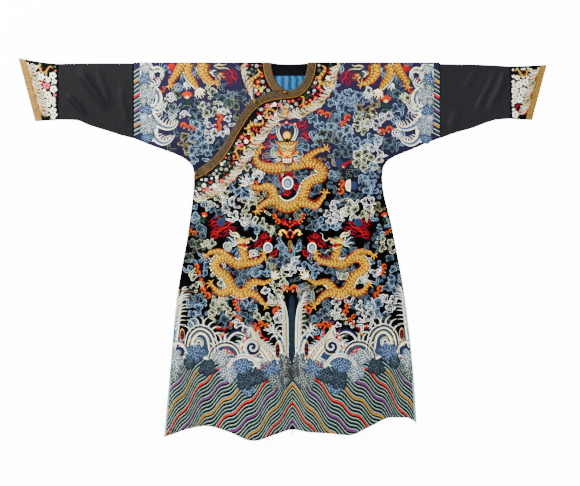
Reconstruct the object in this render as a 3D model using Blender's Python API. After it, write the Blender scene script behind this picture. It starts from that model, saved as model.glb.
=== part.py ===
"""A full-length embroidered silk robe that fastens at the wearer's right side, laid out flat on its back.

Each cloth piece is a sheet of points on its outer face, given its thickness by a Solidify modifier. The two body
halves are cut in one from the front hem over the shoulder fold to the back hem, the outer front crosses the right
half, and the sleeves, cuffs, collar bands, trims and fastenings are pieces of their own, 0.3 to 0.5 mm apart.

Everything is measured in metres from the point where the centre seam crosses the shoulder line: x runs across to the
wearer's left, and "below" runs down from the shoulder line to the hem. The last step puts the robe's underside on the
floor with the middle of its box at the origin.
"""

import math
from collections import namedtuple

import bmesh
import bpy
import numpy as np

# Cloth: satin, interlining and lining together, and the layers that lie on each other.
CLOTH = 0.0016
TRIM_CLOTH = 0.0014
BAND_CLOTH = 0.0010
LINING_CLOTH = 0.0010
SEAM = 0.0003
REST = 0.0004
LINING_TOP = CLOTH + REST + LINING_CLOTH
INNER_TOP = LINING_TOP + REST + CLOTH
OUTER_TOP = INNER_TOP + REST + CLOTH
SIDE_TOP = 2 * CLOTH + REST

# Length, neck and the heights where the shape changes.
LENGTH = 1.400
NECK_HALF = 0.067
NECK_DROP = 0.104
BACK_NECK_DROP = 0.006
UNDERARM = 0.430
SLIT_TOP = 0.852
FOLDS_START = 0.620
SLEEVE_HEIGHT = 0.0056
BACK_INSET = 0.006
EDGING_WIDTH = 0.0075
EDGING_CLOTH = 0.0008

# Half widths from the sleeve seam round the underarm to the hem, on the wearer's right and left.
Side = namedtuple("Side", "below right left")
SIDES = (
    Side(0.2815, 0.5785, 0.5574),
    Side(0.3037, 0.5260, 0.4990),
    Side(0.3260, 0.4630, 0.4480),
    Side(0.3480, 0.4070, 0.3930),
    Side(0.3700, 0.3740, 0.3600),
    Side(0.3926, 0.3580, 0.3480),
    Side(0.4300, 0.3540, 0.3440),
    Side(0.6150, 0.3740, 0.3810),
    Side(0.8800, 0.4185, 0.4290),
    Side(1.1500, 0.4440, 0.4590),
    Side(1.4000, 0.4667, 0.4760),
)

# The hem across the front, by its share of the half width: how far down it reaches and how high its folds rise.
Hem = namedtuple("Hem", "share below lift")
HEM = (
    Hem(-1.00, 1.389, 0.000),
    Hem(-0.94, 1.380, 0.009),
    Hem(-0.82, 1.360, 0.004),
    Hem(-0.68, 1.349, 0.000),
    Hem(-0.50, 1.368, 0.014),
    Hem(-0.30, 1.400, 0.032),
    Hem(-0.12, 1.376, 0.024),
    Hem(0.01, 1.362, 0.000),
    Hem(0.14, 1.370, 0.022),
    Hem(0.30, 1.374, 0.026),
    Hem(0.45, 1.380, 0.028),
    Hem(0.62, 1.350, 0.014),
    Hem(0.80, 1.318, 0.001),
    Hem(0.92, 1.318, 0.005),
    Hem(1.00, 1.337, 0.000),
)

# The outer front's free edge from the neck to the underarm, with the lines where its brocade trim and its embroidered
# band end: one row per section, each line given by how far across and how far below it is.
Section = namedtuple("Section", "edge_x edge trim_x trim band_x band")
OVERLAP = (
    Section(-0.0100, 0.1035, -0.0100, 0.1325, -0.0060, 0.2075),
    Section(-0.0389, 0.1056, -0.0389, 0.1363, -0.0330, 0.2105),
    Section(-0.0648, 0.1085, -0.0640, 0.1407, -0.0520, 0.2310),
    Section(-0.0907, 0.1178, -0.0880, 0.1466, -0.0740, 0.2600),
    Section(-0.1185, 0.1315, -0.1100, 0.1590, -0.0940, 0.2870),
    Section(-0.1389, 0.1463, -0.1280, 0.1730, -0.1110, 0.3110),
    Section(-0.1560, 0.1600, -0.1430, 0.1890, -0.1280, 0.3350),
    Section(-0.1722, 0.1810, -0.1580, 0.2100, -0.1450, 0.3590),
    Section(-0.2056, 0.2370, -0.1910, 0.2630, -0.1740, 0.3980),
    Section(-0.2352, 0.2889, -0.2180, 0.3120, -0.2010, 0.4360),
    Section(-0.2685, 0.3370, -0.2520, 0.3620, -0.2350, 0.4680),
    Section(-0.3130, 0.3778, -0.3010, 0.4060, -0.2900, 0.5040),
    Section(-0.3545, 0.4065, -0.3545, 0.4350, -0.3545, 0.5290),
)
TRIM_WIDTH = 0.030
TRIM_DROP = 0.0285
RING_REACH = 0.1175
RING_DROP = 0.1035

# Flattened sleeve tubes, out from the centre: the fold along the arm and the seam below it.
Ring = namedtuple("Ring", "out top low")
RIGHT_SLEEVE = (
    Ring(0.5791, 0.0030, 0.2825),
    Ring(0.6260, 0.0030, 0.2704),
    Ring(0.6850, 0.0030, 0.2519),
    Ring(0.7444, 0.0032, 0.2333),
    Ring(0.7926, 0.0040, 0.2150),
    Ring(0.8556, 0.0055, 0.2133),
)
LEFT_SLEEVE = (
    Ring(0.5580, 0.0055, 0.2825),
    Ring(0.6185, 0.0070, 0.2610),
    Ring(0.6778, 0.0075, 0.2444),
    Ring(0.7370, 0.0100, 0.2222),
    Ring(0.7700, 0.0115, 0.2133),
    Ring(0.8180, 0.0148, 0.2100),
)

# Hoof-shaped cuffs: the seam and the slanting end, at the arm fold (top) and the lower seam (low).
Cuff = namedtuple("Cuff", "seam_top seam_low end_top end_low top_at_end low_at_end trim")
RIGHT_CUFF = Cuff(0.8559, 0.8559, 1.0055, 0.9430, -0.0165, 0.2195, 0.026)
LEFT_CUFF = Cuff(0.8183, 0.8183, 0.9545, 0.8995, 0.0090, 0.2150, 0.023)

# Standing creases of the sleeves: a ridge from one point to another, its half width and its height.
Crease = namedtuple("Crease", "x0 below0 x1 below1 half height")
SLEEVE_CREASES = (
    Crease(0.775, 0.020, 0.672, 0.190, 0.017, 0.0090),
    Crease(0.800, 0.110, 0.765, 0.205, 0.012, 0.0070),
    Crease(-0.828, 0.015, -0.752, 0.205, 0.016, 0.0070),
    Crease(-0.640, 0.180, -0.600, 0.262, 0.018, 0.0050),
)

# Fastenings: where the ball lies, which way its loop runs (degrees from the wearer's left), and the loop's length.
Fastening = namedtuple("Fastening", "name across below turn reach on")
BALL_RADIUS = 0.0050
STEM_RADIUS = 0.0013
CORD_WIDTH = 0.0032
CORD_GAP = 0.0006
CORD_CLOTH = 0.0015
BAND_TOP = OUTER_TOP + REST + BAND_CLOTH
TRIM_TOP = OUTER_TOP + REST + TRIM_CLOTH
INNER_BAND_TOP = INNER_TOP + REST + BAND_CLOTH
FASTENINGS = (
    Fastening("neck", -0.0170, 0.1120, -160.0, 0.026, TRIM_TOP),
    Fastening("collar_bone", -0.1290, 0.1480, -62.0, 0.034, TRIM_TOP),
    Fastening("underarm", -0.3490, 0.4140, -4.0, 0.048, TRIM_TOP),
    Fastening("side_upper", -0.3720, 0.6400, -6.0, 0.058, OUTER_TOP),
    Fastening("side_lower", -0.4080, 0.8460, -6.0, 0.058, OUTER_TOP + 0.0020),
)
COLLAR_STRAP = ((-0.1330, 0.0900), (-0.1320, 0.1370), 0.0070)

COLOURS = {
    "satin": (0.018, 0.022, 0.060),
    "black": (0.012, 0.013, 0.015),
    "brocade": (0.30, 0.19, 0.09),
    "band": (0.62, 0.55, 0.42),
    "lining": (0.10, 0.30, 0.50),
    "brass": (0.72, 0.52, 0.22),
    "edging": (0.45, 0.58, 0.68),
}


def curve(at, xs, ys):
    """The smooth curve through (xs, ys), read at the values at: a cubic whose slopes never overshoot the table."""
    at, xs, ys = (np.asarray(v, float) for v in (at, xs, ys))
    steps = np.diff(xs)
    rises = np.diff(ys) / steps
    flat = rises[:-1] * rises[1:] <= 0
    safe = np.where(flat, 1.0, rises[:-1] + rises[1:])
    inner = np.where(flat, 0.0, 2 * rises[:-1] * rises[1:] / safe)
    slopes = np.concatenate([rises[:1], inner, rises[-1:]])
    i = np.clip(np.searchsorted(xs, at, side="right") - 1, 0, len(steps) - 1)
    h = steps[i]
    t = np.clip((at - xs[i]) / h, 0.0, 1.0)
    start = (1 + 2 * t) * (1 - t) ** 2 * ys[i] + t * (1 - t) ** 2 * h * slopes[i]
    end = t**2 * (3 - 2 * t) * ys[i + 1] - t**2 * (1 - t) * h * slopes[i + 1]
    return start + end


def read(table, key, column, at):
    """A column of a table of named rows, as a smooth function of another column."""
    return curve(at, [getattr(row, key) for row in table], [getattr(row, column) for row in table])


def ease(t):
    """0 below 0, 1 above 1, and an S-shaped step between."""
    t = np.clip(t, 0.0, 1.0)
    return t * t * (3 - 2 * t)


def half_width(below, side):
    """The body's and upper sleeve's reach from the centre at a height, on one side."""
    return read(SIDES, "below", side, np.maximum(below, SIDES[0].below))


def material(name):
    """One Principled material for each kind of cloth or metal."""
    made = bpy.data.materials.get(name)
    if made is None:
        made = bpy.data.materials.new(name)
        made.use_nodes = True
        shader = made.node_tree.nodes["Principled BSDF"]
        shader.inputs["Base Color"].default_value = (*COLOURS[name], 1.0)
        shader.inputs["Roughness"].default_value = 0.25 if name == "brass" else 0.55
        shader.inputs["Metallic"].default_value = 1.0 if name == "brass" else 0.0
        made.diffuse_color = (*COLOURS[name], 1.0)
    return made


def add_object(name, mesh, cloth):
    obj = bpy.data.objects.new(name, mesh)
    bpy.context.scene.collection.objects.link(obj)
    obj.data.materials.append(material(cloth))
    mesh.shade_smooth()
    mesh.set_sharp_from_angle(angle=math.radians(40))
    return obj


def sheet(name, points, cloth, thickness, closed=False):
    """A cloth piece from rows of points on its outer face. Columns run to the right of rows as seen from outside,
    and closed joins the last column to the first."""
    rows, columns = points.shape[:2]
    index = np.arange(rows * columns).reshape(rows, columns)
    if closed:
        index = np.concatenate([index, index[:, :1]], axis=1)
    corners = (index[:-1, :-1], index[:-1, 1:], index[1:, 1:], index[1:, :-1])
    faces = np.stack(corners, axis=-1).reshape(-1, 4)
    mesh = bpy.data.meshes.new(name)
    mesh.from_pydata(points.reshape(-1, 3).tolist(), [], faces.tolist())
    obj = add_object(name, mesh, cloth)
    solid = obj.modifiers.new("cloth", "SOLIDIFY")
    solid.thickness = thickness
    solid.offset = -1.0
    solid.use_even_offset = True
    return obj


def hem_share(x, below):
    """How far across the body a point lies, from -1 at the right side to 1 at the left."""
    side = np.where(x < 0, half_width(below, "right"), half_width(below, "left"))
    return np.clip(x / side, -1.0, 1.0)


def fold_lift(x, below):
    """How high the front's long folds rise, growing from the waist to the hem."""
    grown = ease((below - FOLDS_START) / (LENGTH - FOLDS_START)) ** 1.15
    return read(HEM, "share", "lift", hem_share(x, below)) * grown


def side_curve(side):
    """Points along the sleeve's under seam and the body's side, for finding how near the edge a point is."""
    below = np.concatenate([np.linspace(SIDES[0].below, UNDERARM, 25), np.linspace(UNDERARM, LENGTH, 40)])
    return np.stack([half_width(below, side), below], axis=-1)


def edge_distance(x, below, side):
    """How far a point lies from that seam."""
    gaps = np.stack([np.abs(x), below], axis=-1)[..., None, :] - side_curve(side)
    return np.linalg.norm(gaps, axis=-1).min(axis=-1)


def left_top(x, below):
    """The left front's height: over two layers at the centre, over one further out, and on the back at the seam."""
    crown = OUTER_TOP - (OUTER_TOP - SLEEVE_HEIGHT) * ease((x - 0.20) / 0.14)
    near = edge_distance(x, below, "left")
    drop = (SLEEVE_HEIGHT - SIDE_TOP) * (1 - ease(near / 0.035))
    return crown - drop + fold_lift(x, below) * ease(near / 0.05)


def right_top(x, below):
    """The right front's height: flat on the lining, under the outer front, and on the back at the seam."""
    crown = INNER_TOP + (SLEEVE_HEIGHT - INNER_TOP) * ease((-x - 0.40) / 0.12)
    near = edge_distance(x, below, "right")
    return crown - (crown - SIDE_TOP) * (1 - ease(near / 0.035))


def outer_top(x, below):
    """The outer front's height: flat over the right front, with the long folds below the waist."""
    return OUTER_TOP + fold_lift(x, below)


def neck_opening(below, drop):
    """The half width of the neck opening at a height: a half ellipse that ends drop below the shoulder."""
    return NECK_HALF * np.sqrt(np.clip(1 - (below / drop) ** 2, 0.0, 1.0))


def rows_above(underarm_steps, neck_steps):
    """Heights of the rows from the underarm up to just under the shoulder fold."""
    round_arm = np.linspace(UNDERARM, SIDES[0].below, underarm_steps)
    sleeve = np.linspace(SIDES[0].below, NECK_DROP, 4)[1:]
    neck = NECK_DROP * np.sin(np.linspace(math.pi / 2, 0.0, neck_steps))[1:-1]
    return np.concatenate([round_arm, sleeve, neck])


def laid_rows(side, u, to_hem, heights, drop, hem_inset):
    """x and below for a half's rows, from the hem to just under the shoulder fold."""
    sign = -1 if side == "right" else 1
    hem = read(HEM, "share", "below", sign * u) - hem_inset
    low = UNDERARM + np.linspace(1.0, 0.0, to_hem + 1)[:-1, None] * (hem - UNDERARM)[None, :]
    below = np.concatenate([low, np.repeat(heights[:, None], len(u), axis=1)])
    inner = np.maximum(neck_opening(below, drop), SEAM / 2)
    return sign * (inner + (half_width(below, side) - inner) * u), below


def body_half(side, top_of, columns, to_hem, hem_inset):
    """The front, shoulder fold and back of one half, cut in one piece. Returns the front's rows of points."""
    sign = -1 if side == "right" else 1
    u = np.linspace(0.0, 1.0, columns)
    x, below = laid_rows(side, u, to_hem, rows_above(6, 6), NECK_DROP, hem_inset)
    front = np.stack([x, -below, top_of(x, below)], axis=-1)
    # The fold is half a circle that turns about a line midway between the front and the back.
    edge = sign * (NECK_HALF + (half_width(0.0, side) - NECK_HALF) * u)
    radius = top_of(edge, np.zeros(columns)) / 2
    turns = np.linspace(0.0, math.pi, 6)[:, None]
    across = edge + 0 * turns
    fold = np.stack([across, radius * (np.sin(turns) - 1), radius * (np.cos(turns) + 1)], axis=-1)
    # The back's neck edge dips between the two folds.
    dip = BACK_NECK_DROP + np.array([0.0, 0.0015])[:, None] + 0 * u
    inner = np.array([NECK_HALF * 0.55, SEAM / 2])[:, None]
    neck = np.stack([sign * (inner + (half_width(dip, side) - inner) * u), -dip, 0 * dip], axis=-1)
    x, below = laid_rows(side, u, 6, rows_above(6, 2), BACK_NECK_DROP, BACK_INSET)
    back = np.stack([x, -below, np.zeros_like(x)], axis=-1)[::-1]
    points = np.concatenate([front, fold, neck, back])
    sheet("body_" + side, points if sign > 0 else points[:, ::-1], "satin", CLOTH)
    return front


def overlap_line(name, count=None):
    """Points along one of the overlap's three lines, two to a section."""
    at = np.linspace(0, len(OVERLAP) - 1, count or 2 * len(OVERLAP) - 1)
    index = np.arange(len(OVERLAP))
    across = curve(at, index, [getattr(row, name + "_x") for row in OVERLAP])
    return np.stack([across, curve(at, index, [getattr(row, name) for row in OVERLAP])], axis=-1)


def outer_front():
    """The large front that crosses to the right side: its rows end on the side seam, then on the diagonal edge.
    Returns its rows of points."""
    u = np.linspace(0.0, 1.0, 15)
    hem = read(HEM, "share", "below", -u)
    joint = OVERLAP[-1].edge
    low = joint + np.linspace(1.0, 0.0, 17)[:, None] * (hem - joint)[None, :]
    x_low = -(SEAM / 2 + (half_width(low, "right") - SEAM / 2) * u)
    ends = overlap_line("edge", 16)[::-1][1:]
    starts = np.linspace(joint, OVERLAP[0].edge, len(ends) + 1)[1:]
    x_high = -(SEAM / 2 + (-ends[:, :1] - SEAM / 2) * u)
    high = starts[:, None] + (ends[:, 1:] - starts[:, None]) * u
    x, below = np.concatenate([x_low, x_high]), np.concatenate([low, high])
    points = np.stack([x, -below, outer_top(x, below)], axis=-1)
    sheet("outer_front", points[:, ::-1], "satin", CLOTH)
    return points


def crease_lift(x, below):
    """How high the sleeves' standing creases rise: a soft ridge about each line, fading out towards its ends."""
    lift = np.zeros_like(x)
    for c in SLEEVE_CREASES:
        start, run = np.array([c.x0, c.below0]), np.array([c.x1 - c.x0, c.below1 - c.below0])
        away = np.stack([x, below], axis=-1) - start
        t = away @ run / (run @ run)
        across = np.abs(away @ np.array([-run[1], run[0]])) / np.linalg.norm(run)
        lift = lift + c.height * np.exp(-((across / c.half) ** 2)) * ease(t / 0.3) * ease((1 - t) / 0.3)
    return lift


def flat_tube(name, x, top, low, height, cloth):
    """A sleeve or cuff pressed flat: a closed ring at each section, with its folds at top and low. x gives a
    section's place along the arm from the share of the way from top to low."""
    turns = np.linspace(0.0, math.pi, 5)
    over, under = np.linspace(0.0, 1.0, 11)[1:-1], np.linspace(1.0, 0.0, 4)[1:-1]
    radius = height / 2
    rings = []
    for section in range(len(top)):
        high, bottom = top[section] + radius, low[section] - radius
        below = np.concatenate(
            [
                high - radius * np.sin(turns),
                high + (bottom - high) * over,
                bottom + radius * np.sin(turns),
                high + (bottom - high) * under,
            ]
        )
        z = np.concatenate(
            [
                radius - radius * np.cos(turns),
                np.full(len(over), height),
                radius + radius * np.cos(turns),
                np.zeros(len(under)),
            ]
        )
        across = x(section, (below - top[section]) / (low[section] - top[section]))
        z = z + crease_lift(across, below) * ease((z - radius) / radius)
        rings.append(np.stack([across, -below, z], axis=-1))
    rings = np.array(rings)
    if rings[0, 0, 0] > rings[-1, 0, 0]:
        rings = rings[::-1]
    sheet(name, rings, cloth, CLOTH, closed=True)


def sleeve(side, table):
    """The plain lower sleeve, a flattened tube from the sleeve seam to the cuff."""
    sign = -1 if side == "right" else 1
    out = np.linspace(table[0].out, table[-1].out, 8)
    top, low = read(table, "out", "top", out), read(table, "out", "low", out)
    flat_tube("sleeve_" + side, lambda i, share: sign * out[i] + 0 * share, top, low, SLEEVE_HEIGHT, "black")


def cuff(side, table, sleeve_end):
    """The hoof cuff and the trim that ends it: tubes that slant, longest at the arm fold."""
    sign = -1 if side == "right" else 1
    at_top, at_low = table.end_top - table.seam_top, table.end_low - table.seam_low
    trim_start = np.array([1 - table.trim / at_top, 1 - table.trim / at_low])
    gap = SEAM / np.array([at_top, at_low])
    for name, start, end, sections, height, cloth in (
        ("cuff_", np.zeros(2), trim_start - gap, 4, SLEEVE_HEIGHT, "band"),
        ("cuff_trim_", trim_start, np.ones(2), 3, SLEEVE_HEIGHT + 0.0008, "brocade"),
    ):
        along = start + np.linspace(0.0, 1.0, sections)[:, None] * (end - start)
        top = sleeve_end.top + (table.top_at_end - sleeve_end.top) * along[:, 0] ** 1.5
        low = sleeve_end.low + (table.low_at_end - sleeve_end.low) * along[:, 1]
        here = lambda i, share: along[i, 0] + (along[i, 1] - along[i, 0]) * share
        place = lambda i, share: sign * (table.seam_top + here(i, share) * (at_top + (at_low - at_top) * share))
        flat_tube(name + side, place, top, low, height, cloth)


def strip(name, near, far, across, top, cloth, thickness):
    """A flat band between two edges, given as matching points from its start to its end."""
    share = np.linspace(0.0, 1.0, across)[:, None]
    places = near[:, None, :] + (far - near)[:, None, :] * share
    points = np.stack([places[..., 0], -places[..., 1], np.full(places.shape[:2], top)], axis=-1)
    ahead, aside = points[1, 0] - points[0, 0], points[0, 1] - points[0, 0]
    if ahead[0] * aside[1] > ahead[1] * aside[0]:
        points = points[:, ::-1]
    sheet(name, points, cloth, thickness)


def neck_line(start, end, count, beyond, drop):
    """Points on an ellipse round the front of the neck, beyond its edge. Angles run from the wearer's left shoulder
    (0) to the right shoulder (180)."""
    turn = np.radians(np.linspace(start, end, count))
    return np.stack([(NECK_HALF + beyond) * np.cos(turn), (NECK_DROP + drop) * np.sin(turn)], axis=-1)


def collar():
    """The embroidered collar bands and the brocade trims round the neck and down the diagonal edge."""
    clear = np.array([0.0, 2 * SEAM])
    trim_end, band_end = (TRIM_WIDTH, TRIM_DROP), (RING_REACH, RING_DROP)
    band_start = (TRIM_WIDTH + SEAM, TRIM_DROP + SEAM)
    near = np.concatenate([neck_line(0.4, 88, 11, 0, 0), overlap_line("edge")])
    far = np.concatenate([neck_line(0.3, 88, 11, *trim_end), overlap_line("trim")])
    strip("front_trim", near, far, 2, TRIM_TOP, "brocade", TRIM_CLOTH)
    near = np.concatenate([neck_line(0.3, 88, 11, *band_start), overlap_line("trim") + clear])
    far = np.concatenate([neck_line(0.2, 88, 11, *band_end), overlap_line("band")])
    strip("collar_band", near, far, 4, BAND_TOP, "band", BAND_CLOTH)
    near, far = neck_line(100, 179.6, 10, 0, 0), neck_line(127, 179.7, 10, *trim_end)
    strip("neck_trim_right", near, far, 2, INNER_TOP + REST + TRIM_CLOTH, "brocade", TRIM_CLOTH)
    near, far = neck_line(129, 179.7, 8, *band_start), neck_line(138, 179.8, 8, *band_end)
    strip("collar_band_right", near, far, 4, INNER_BAND_TOP, "band", BAND_CLOTH)


def neck_inside():
    """The dark facing of the back neck and the gathered lining below it, which show through the neck opening."""
    half, facing_end, lining_end = 0.105, 0.050, 0.150
    x = np.linspace(-half, half, 29)
    for name, first, last, rows, cloth, depth in (
        ("back_neck_facing", BACK_NECK_DROP + 0.002, facing_end, 2, "black", 0.0),
        ("neck_lining", facing_end + SEAM, lining_end, 6, "lining", 0.0010),
    ):
        below = np.linspace(last, first, rows)[:, None] + 0 * x
        across = x + 0 * below
        inside = 1 - (across / (NECK_HALF - 0.010)) ** 2 - (below / (NECK_DROP - 0.010)) ** 2
        waves = 1 + np.sin(across * 2 * math.pi / 0.030 + 0.6)
        lift = depth * waves * ease(inside / 0.3) * ease((below - facing_end) / 0.010)
        sheet(name, np.stack([across, -below, LINING_TOP + lift], axis=-1), cloth, LINING_CLOTH)


def slit_edging(side, front):
    """The pale edging of a side slit: a narrow strip over the front's outermost points, moved out."""
    rows = front[front[:, -1, 1] < -SLIT_TOP]
    outer, inner = rows[:, -1], rows[:, -2]
    share = EDGING_WIDTH / np.linalg.norm(outer - inner, axis=-1, keepdims=True)
    points = np.stack([outer + (inner - outer) * share, outer], axis=1)
    points = points + np.array([0.0, 0.0, REST + EDGING_CLOTH])
    sheet("slit_edging_" + side, points if side == "left" else points[:, ::-1], "edging", EDGING_CLOTH)


def cord(name, path, level):
    """A flat cord laid along a path of points, its upper face at a level."""
    along = np.gradient(path, axis=0)
    along /= np.linalg.norm(along, axis=1, keepdims=True)
    aside = np.stack([-along[:, 1], along[:, 0]], axis=-1) * CORD_WIDTH / 2
    strip(name, path - aside, path + aside, 2, level, "brocade", CORD_CLOTH)


def fastening(row):
    """A ball on its stem, and the cord that is sewn down as a hairpin and goes round the stem."""
    turn = math.radians(row.turn)
    ahead = np.array([math.cos(turn), -math.sin(turn)])
    aside = np.array([-ahead[1], ahead[0]])
    centre = np.array([row.across, row.below])
    gap = (CORD_WIDTH + CORD_GAP) / 2
    radius = STEM_RADIUS + 0.0007 + CORD_WIDTH / 2
    lean = math.asin(gap / radius)
    turns = np.linspace(lean, 2 * math.pi - lean, 13)[:, None]
    # Measured from the strap's own direction, the loop leaves one leg, passes behind the ball and meets the other.
    loop = centre + radius * (np.cos(turns) * ahead + np.sin(turns) * aside)
    legs = np.linspace(row.reach, radius * 1.6, 3)[:, None]
    first = centre + legs * ahead + gap * aside
    last = centre + legs[::-1] * ahead - gap * aside
    bottom = row.on + REST
    cord("loop_" + row.name, np.concatenate([first, loop, last]), bottom + CORD_CLOTH)
    ball = bottom + CORD_CLOTH + SEAM + BALL_RADIUS
    bm = bmesh.new()
    start = math.asin(STEM_RADIUS / BALL_RADIUS)
    bend = np.linspace(start, math.pi, 9)
    radii = np.concatenate([[0.0, STEM_RADIUS], BALL_RADIUS * np.sin(bend[:-1]), [0.0]])
    heights = np.concatenate([[bottom, bottom], ball - BALL_RADIUS * np.cos(bend[:-1]), [ball + BALL_RADIUS]])
    profile = [bm.verts.new((r, 0.0, z)) for r, z in zip(radii.tolist(), heights.tolist())]
    for one, two in zip(profile[:-1], profile[1:]):
        bm.edges.new((one, two))
    bmesh.ops.spin(
        bm, geom=list(bm.verts) + list(bm.edges), axis=(0, 0, 1), cent=(0, 0, 0), angle=2 * math.pi, steps=14
    )
    bmesh.ops.remove_doubles(bm, verts=bm.verts, dist=1e-6)
    bmesh.ops.recalc_face_normals(bm, faces=bm.faces)
    bmesh.ops.translate(bm, verts=bm.verts, vec=(row.across, -row.below, 0.0))
    mesh = bpy.data.meshes.new("button_" + row.name)
    bm.to_mesh(mesh)
    bm.free()
    add_object("button_" + row.name, mesh, "brass")


def collar_strap():
    """The flat strap that carries the collar-bone button, on the right collar band."""
    start, end, width = np.array(COLLAR_STRAP[0]), np.array(COLLAR_STRAP[1]), COLLAR_STRAP[2]
    line = np.linspace(start, end, 4)
    half = np.array([width / 2, 0.0])
    strip("strap_collar_bone", line - half, line + half, 2, INNER_BAND_TOP + REST + CORD_CLOTH, "brocade", CORD_CLOTH)


def settle():
    """Put the middle of the robe's box over the origin, with its underside on the floor."""
    points = []
    for obj in bpy.data.objects:
        at = np.empty(3 * len(obj.data.vertices), dtype=np.float32)
        obj.data.vertices.foreach_get("co", at)
        points.append(at.reshape(-1, 3))
    every = np.concatenate(points)
    middle = (every.min(axis=0) + every.max(axis=0)) / 2
    shift = np.array([middle[0], middle[1], every[:, 2].min()], dtype=np.float32)
    for obj, at in zip(bpy.data.objects, points):
        obj.data.vertices.foreach_set("co", (at - shift).ravel())
        obj.data.update()


def main():
    for obj in list(bpy.data.objects):
        bpy.data.objects.remove(obj, do_unlink=True)
    left = body_half("left", left_top, 15, 16, 0.0)
    body_half("right", right_top, 10, 6, BACK_INSET)
    outer = outer_front()
    sleeve("right", RIGHT_SLEEVE)
    sleeve("left", LEFT_SLEEVE)
    cuff("right", RIGHT_CUFF, RIGHT_SLEEVE[-1])
    cuff("left", LEFT_CUFF, LEFT_SLEEVE[-1])
    collar()
    collar_strap()
    neck_inside()
    slit_edging("right", outer)
    slit_edging("left", left)
    for row in FASTENINGS:
        fastening(row)
    settle()


main()
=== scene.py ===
# %% [markdown]
# # An embroidered dragon robe, laid flat
#
# The robe is dark blue satin, worked all over in silk and couched gold thread. It is made here in three
# passes: the cloth panels with their folds, the trims and fastenings that are sewn on them, and the
# embroidery, which is real relief made of a few small shapes (ribbons, patches and discs) that are drawn
# flat and then laid on the cloth.
#
# Lengths on the robe are in steps of 1/270 m, counted across from the centre seam (to the wearer's left)
# and down from the shoulder line, because a drawing with round numbers is easier to change.

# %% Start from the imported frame
import math
from collections import namedtuple

import bpy
import numpy as np
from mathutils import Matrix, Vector


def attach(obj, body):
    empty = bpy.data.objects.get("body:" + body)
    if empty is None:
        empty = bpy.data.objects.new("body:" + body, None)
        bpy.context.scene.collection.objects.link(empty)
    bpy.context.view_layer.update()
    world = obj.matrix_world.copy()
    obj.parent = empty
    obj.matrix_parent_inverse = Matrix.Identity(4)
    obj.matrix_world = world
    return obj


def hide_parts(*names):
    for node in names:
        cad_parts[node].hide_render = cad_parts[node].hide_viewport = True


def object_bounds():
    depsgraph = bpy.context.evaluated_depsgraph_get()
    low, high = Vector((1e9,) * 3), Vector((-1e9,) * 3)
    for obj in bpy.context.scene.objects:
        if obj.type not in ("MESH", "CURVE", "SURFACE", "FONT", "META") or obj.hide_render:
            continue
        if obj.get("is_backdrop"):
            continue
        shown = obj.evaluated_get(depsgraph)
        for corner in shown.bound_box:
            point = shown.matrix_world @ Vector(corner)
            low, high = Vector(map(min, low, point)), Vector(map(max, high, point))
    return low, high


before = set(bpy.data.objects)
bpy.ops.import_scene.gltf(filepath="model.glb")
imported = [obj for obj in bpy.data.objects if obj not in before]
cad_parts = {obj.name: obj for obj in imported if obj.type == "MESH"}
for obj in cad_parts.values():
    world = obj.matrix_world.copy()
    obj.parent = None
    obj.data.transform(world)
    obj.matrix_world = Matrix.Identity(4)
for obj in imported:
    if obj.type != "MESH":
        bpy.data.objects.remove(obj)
LOW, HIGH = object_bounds()
STEPS, PICTURE_WIDTH = 270, 580
STEP = 1 / STEPS
CENTRE_X, SHOULDER_Y = 0.0255, 0.69175
rng = np.random.default_rng(7)
print("frame:", len(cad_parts), "nodes,", [round(v, 3) for v in HIGH - LOW], "m")

# %% [markdown]
# ## Camera, floor and light
#
# A garment laid out flat shows its whole pattern from straight above, so the camera looks down with a long
# lens. The floor is a plain pale sheet. Two big soft lights from either side keep the silk's sheen gentle,
# and one of them is stronger, which is what makes folds and stitches readable.

# %% Camera, floor and lights
def aim(obj, target):
    """Turn an object so that it looks at a point."""
    away = np.array(target) - np.array(obj.location)
    obj.rotation_euler = Vector(away).to_track_quat("-Z", "Y").to_euler()


camera = bpy.data.objects.new("camera", bpy.data.cameras.new("camera"))
camera.data.lens, camera.data.clip_end = 90, 50
width_seen = PICTURE_WIDTH * STEP
camera.location = (0.0274, 0.0215, 0.01 + width_seen * camera.data.lens / camera.data.sensor_width)
bpy.context.scene.collection.objects.link(camera)
bpy.context.scene.camera = camera


def soft_light(name, place, size, watts, colour=(1, 1, 1)):
    """A square area light that looks at the middle of the robe."""
    lamp = bpy.data.lights.new(name, "AREA")
    lamp.energy, lamp.size, lamp.color = watts, size, colour
    obj = bpy.data.objects.new(name, lamp)
    obj.location = place
    aim(obj, (0, 0, 0))
    bpy.context.scene.collection.objects.link(obj)
    return obj


soft_light("key", (-2.6, 1.6, 2.6), 1.1, 420, (1.0, 0.985, 0.96))
soft_light("fill", (2.8, -0.6, 2.8), 2.4, 70, (0.95, 0.98, 1.0))
world = bpy.data.worlds.new("studio")
bpy.context.scene.world = world
world.use_nodes = True
world.node_tree.nodes["Background"].inputs["Color"].default_value = (1.0, 1.0, 1.0, 1)
world.node_tree.nodes["Background"].inputs["Strength"].default_value = 0.62

floor_mesh = bpy.data.meshes.new("floor")
floor_mesh.from_pydata(
    [(-6, -6, -0.0006), (6, -6, -0.0006), (6, 6, -0.0006), (-6, 6, -0.0006)], [], [(0, 1, 2, 3)],
)
floor = bpy.data.objects.new("floor", floor_mesh)
bpy.context.scene.collection.objects.link(floor)
floor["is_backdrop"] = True
print("camera at", [round(v, 2) for v in camera.location])

# %% [markdown]
# ## Writing a finish as a sum
#
# A procedural finish is mostly arithmetic on coordinates. The class below wraps one output of a material's
# graph and gives it Python's operators, so that an expression such as `1 - mask * 0.3` builds the Math
# nodes by itself. Any other node comes from `node`, which takes its settings first and then the values or
# links of its inputs.

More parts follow.
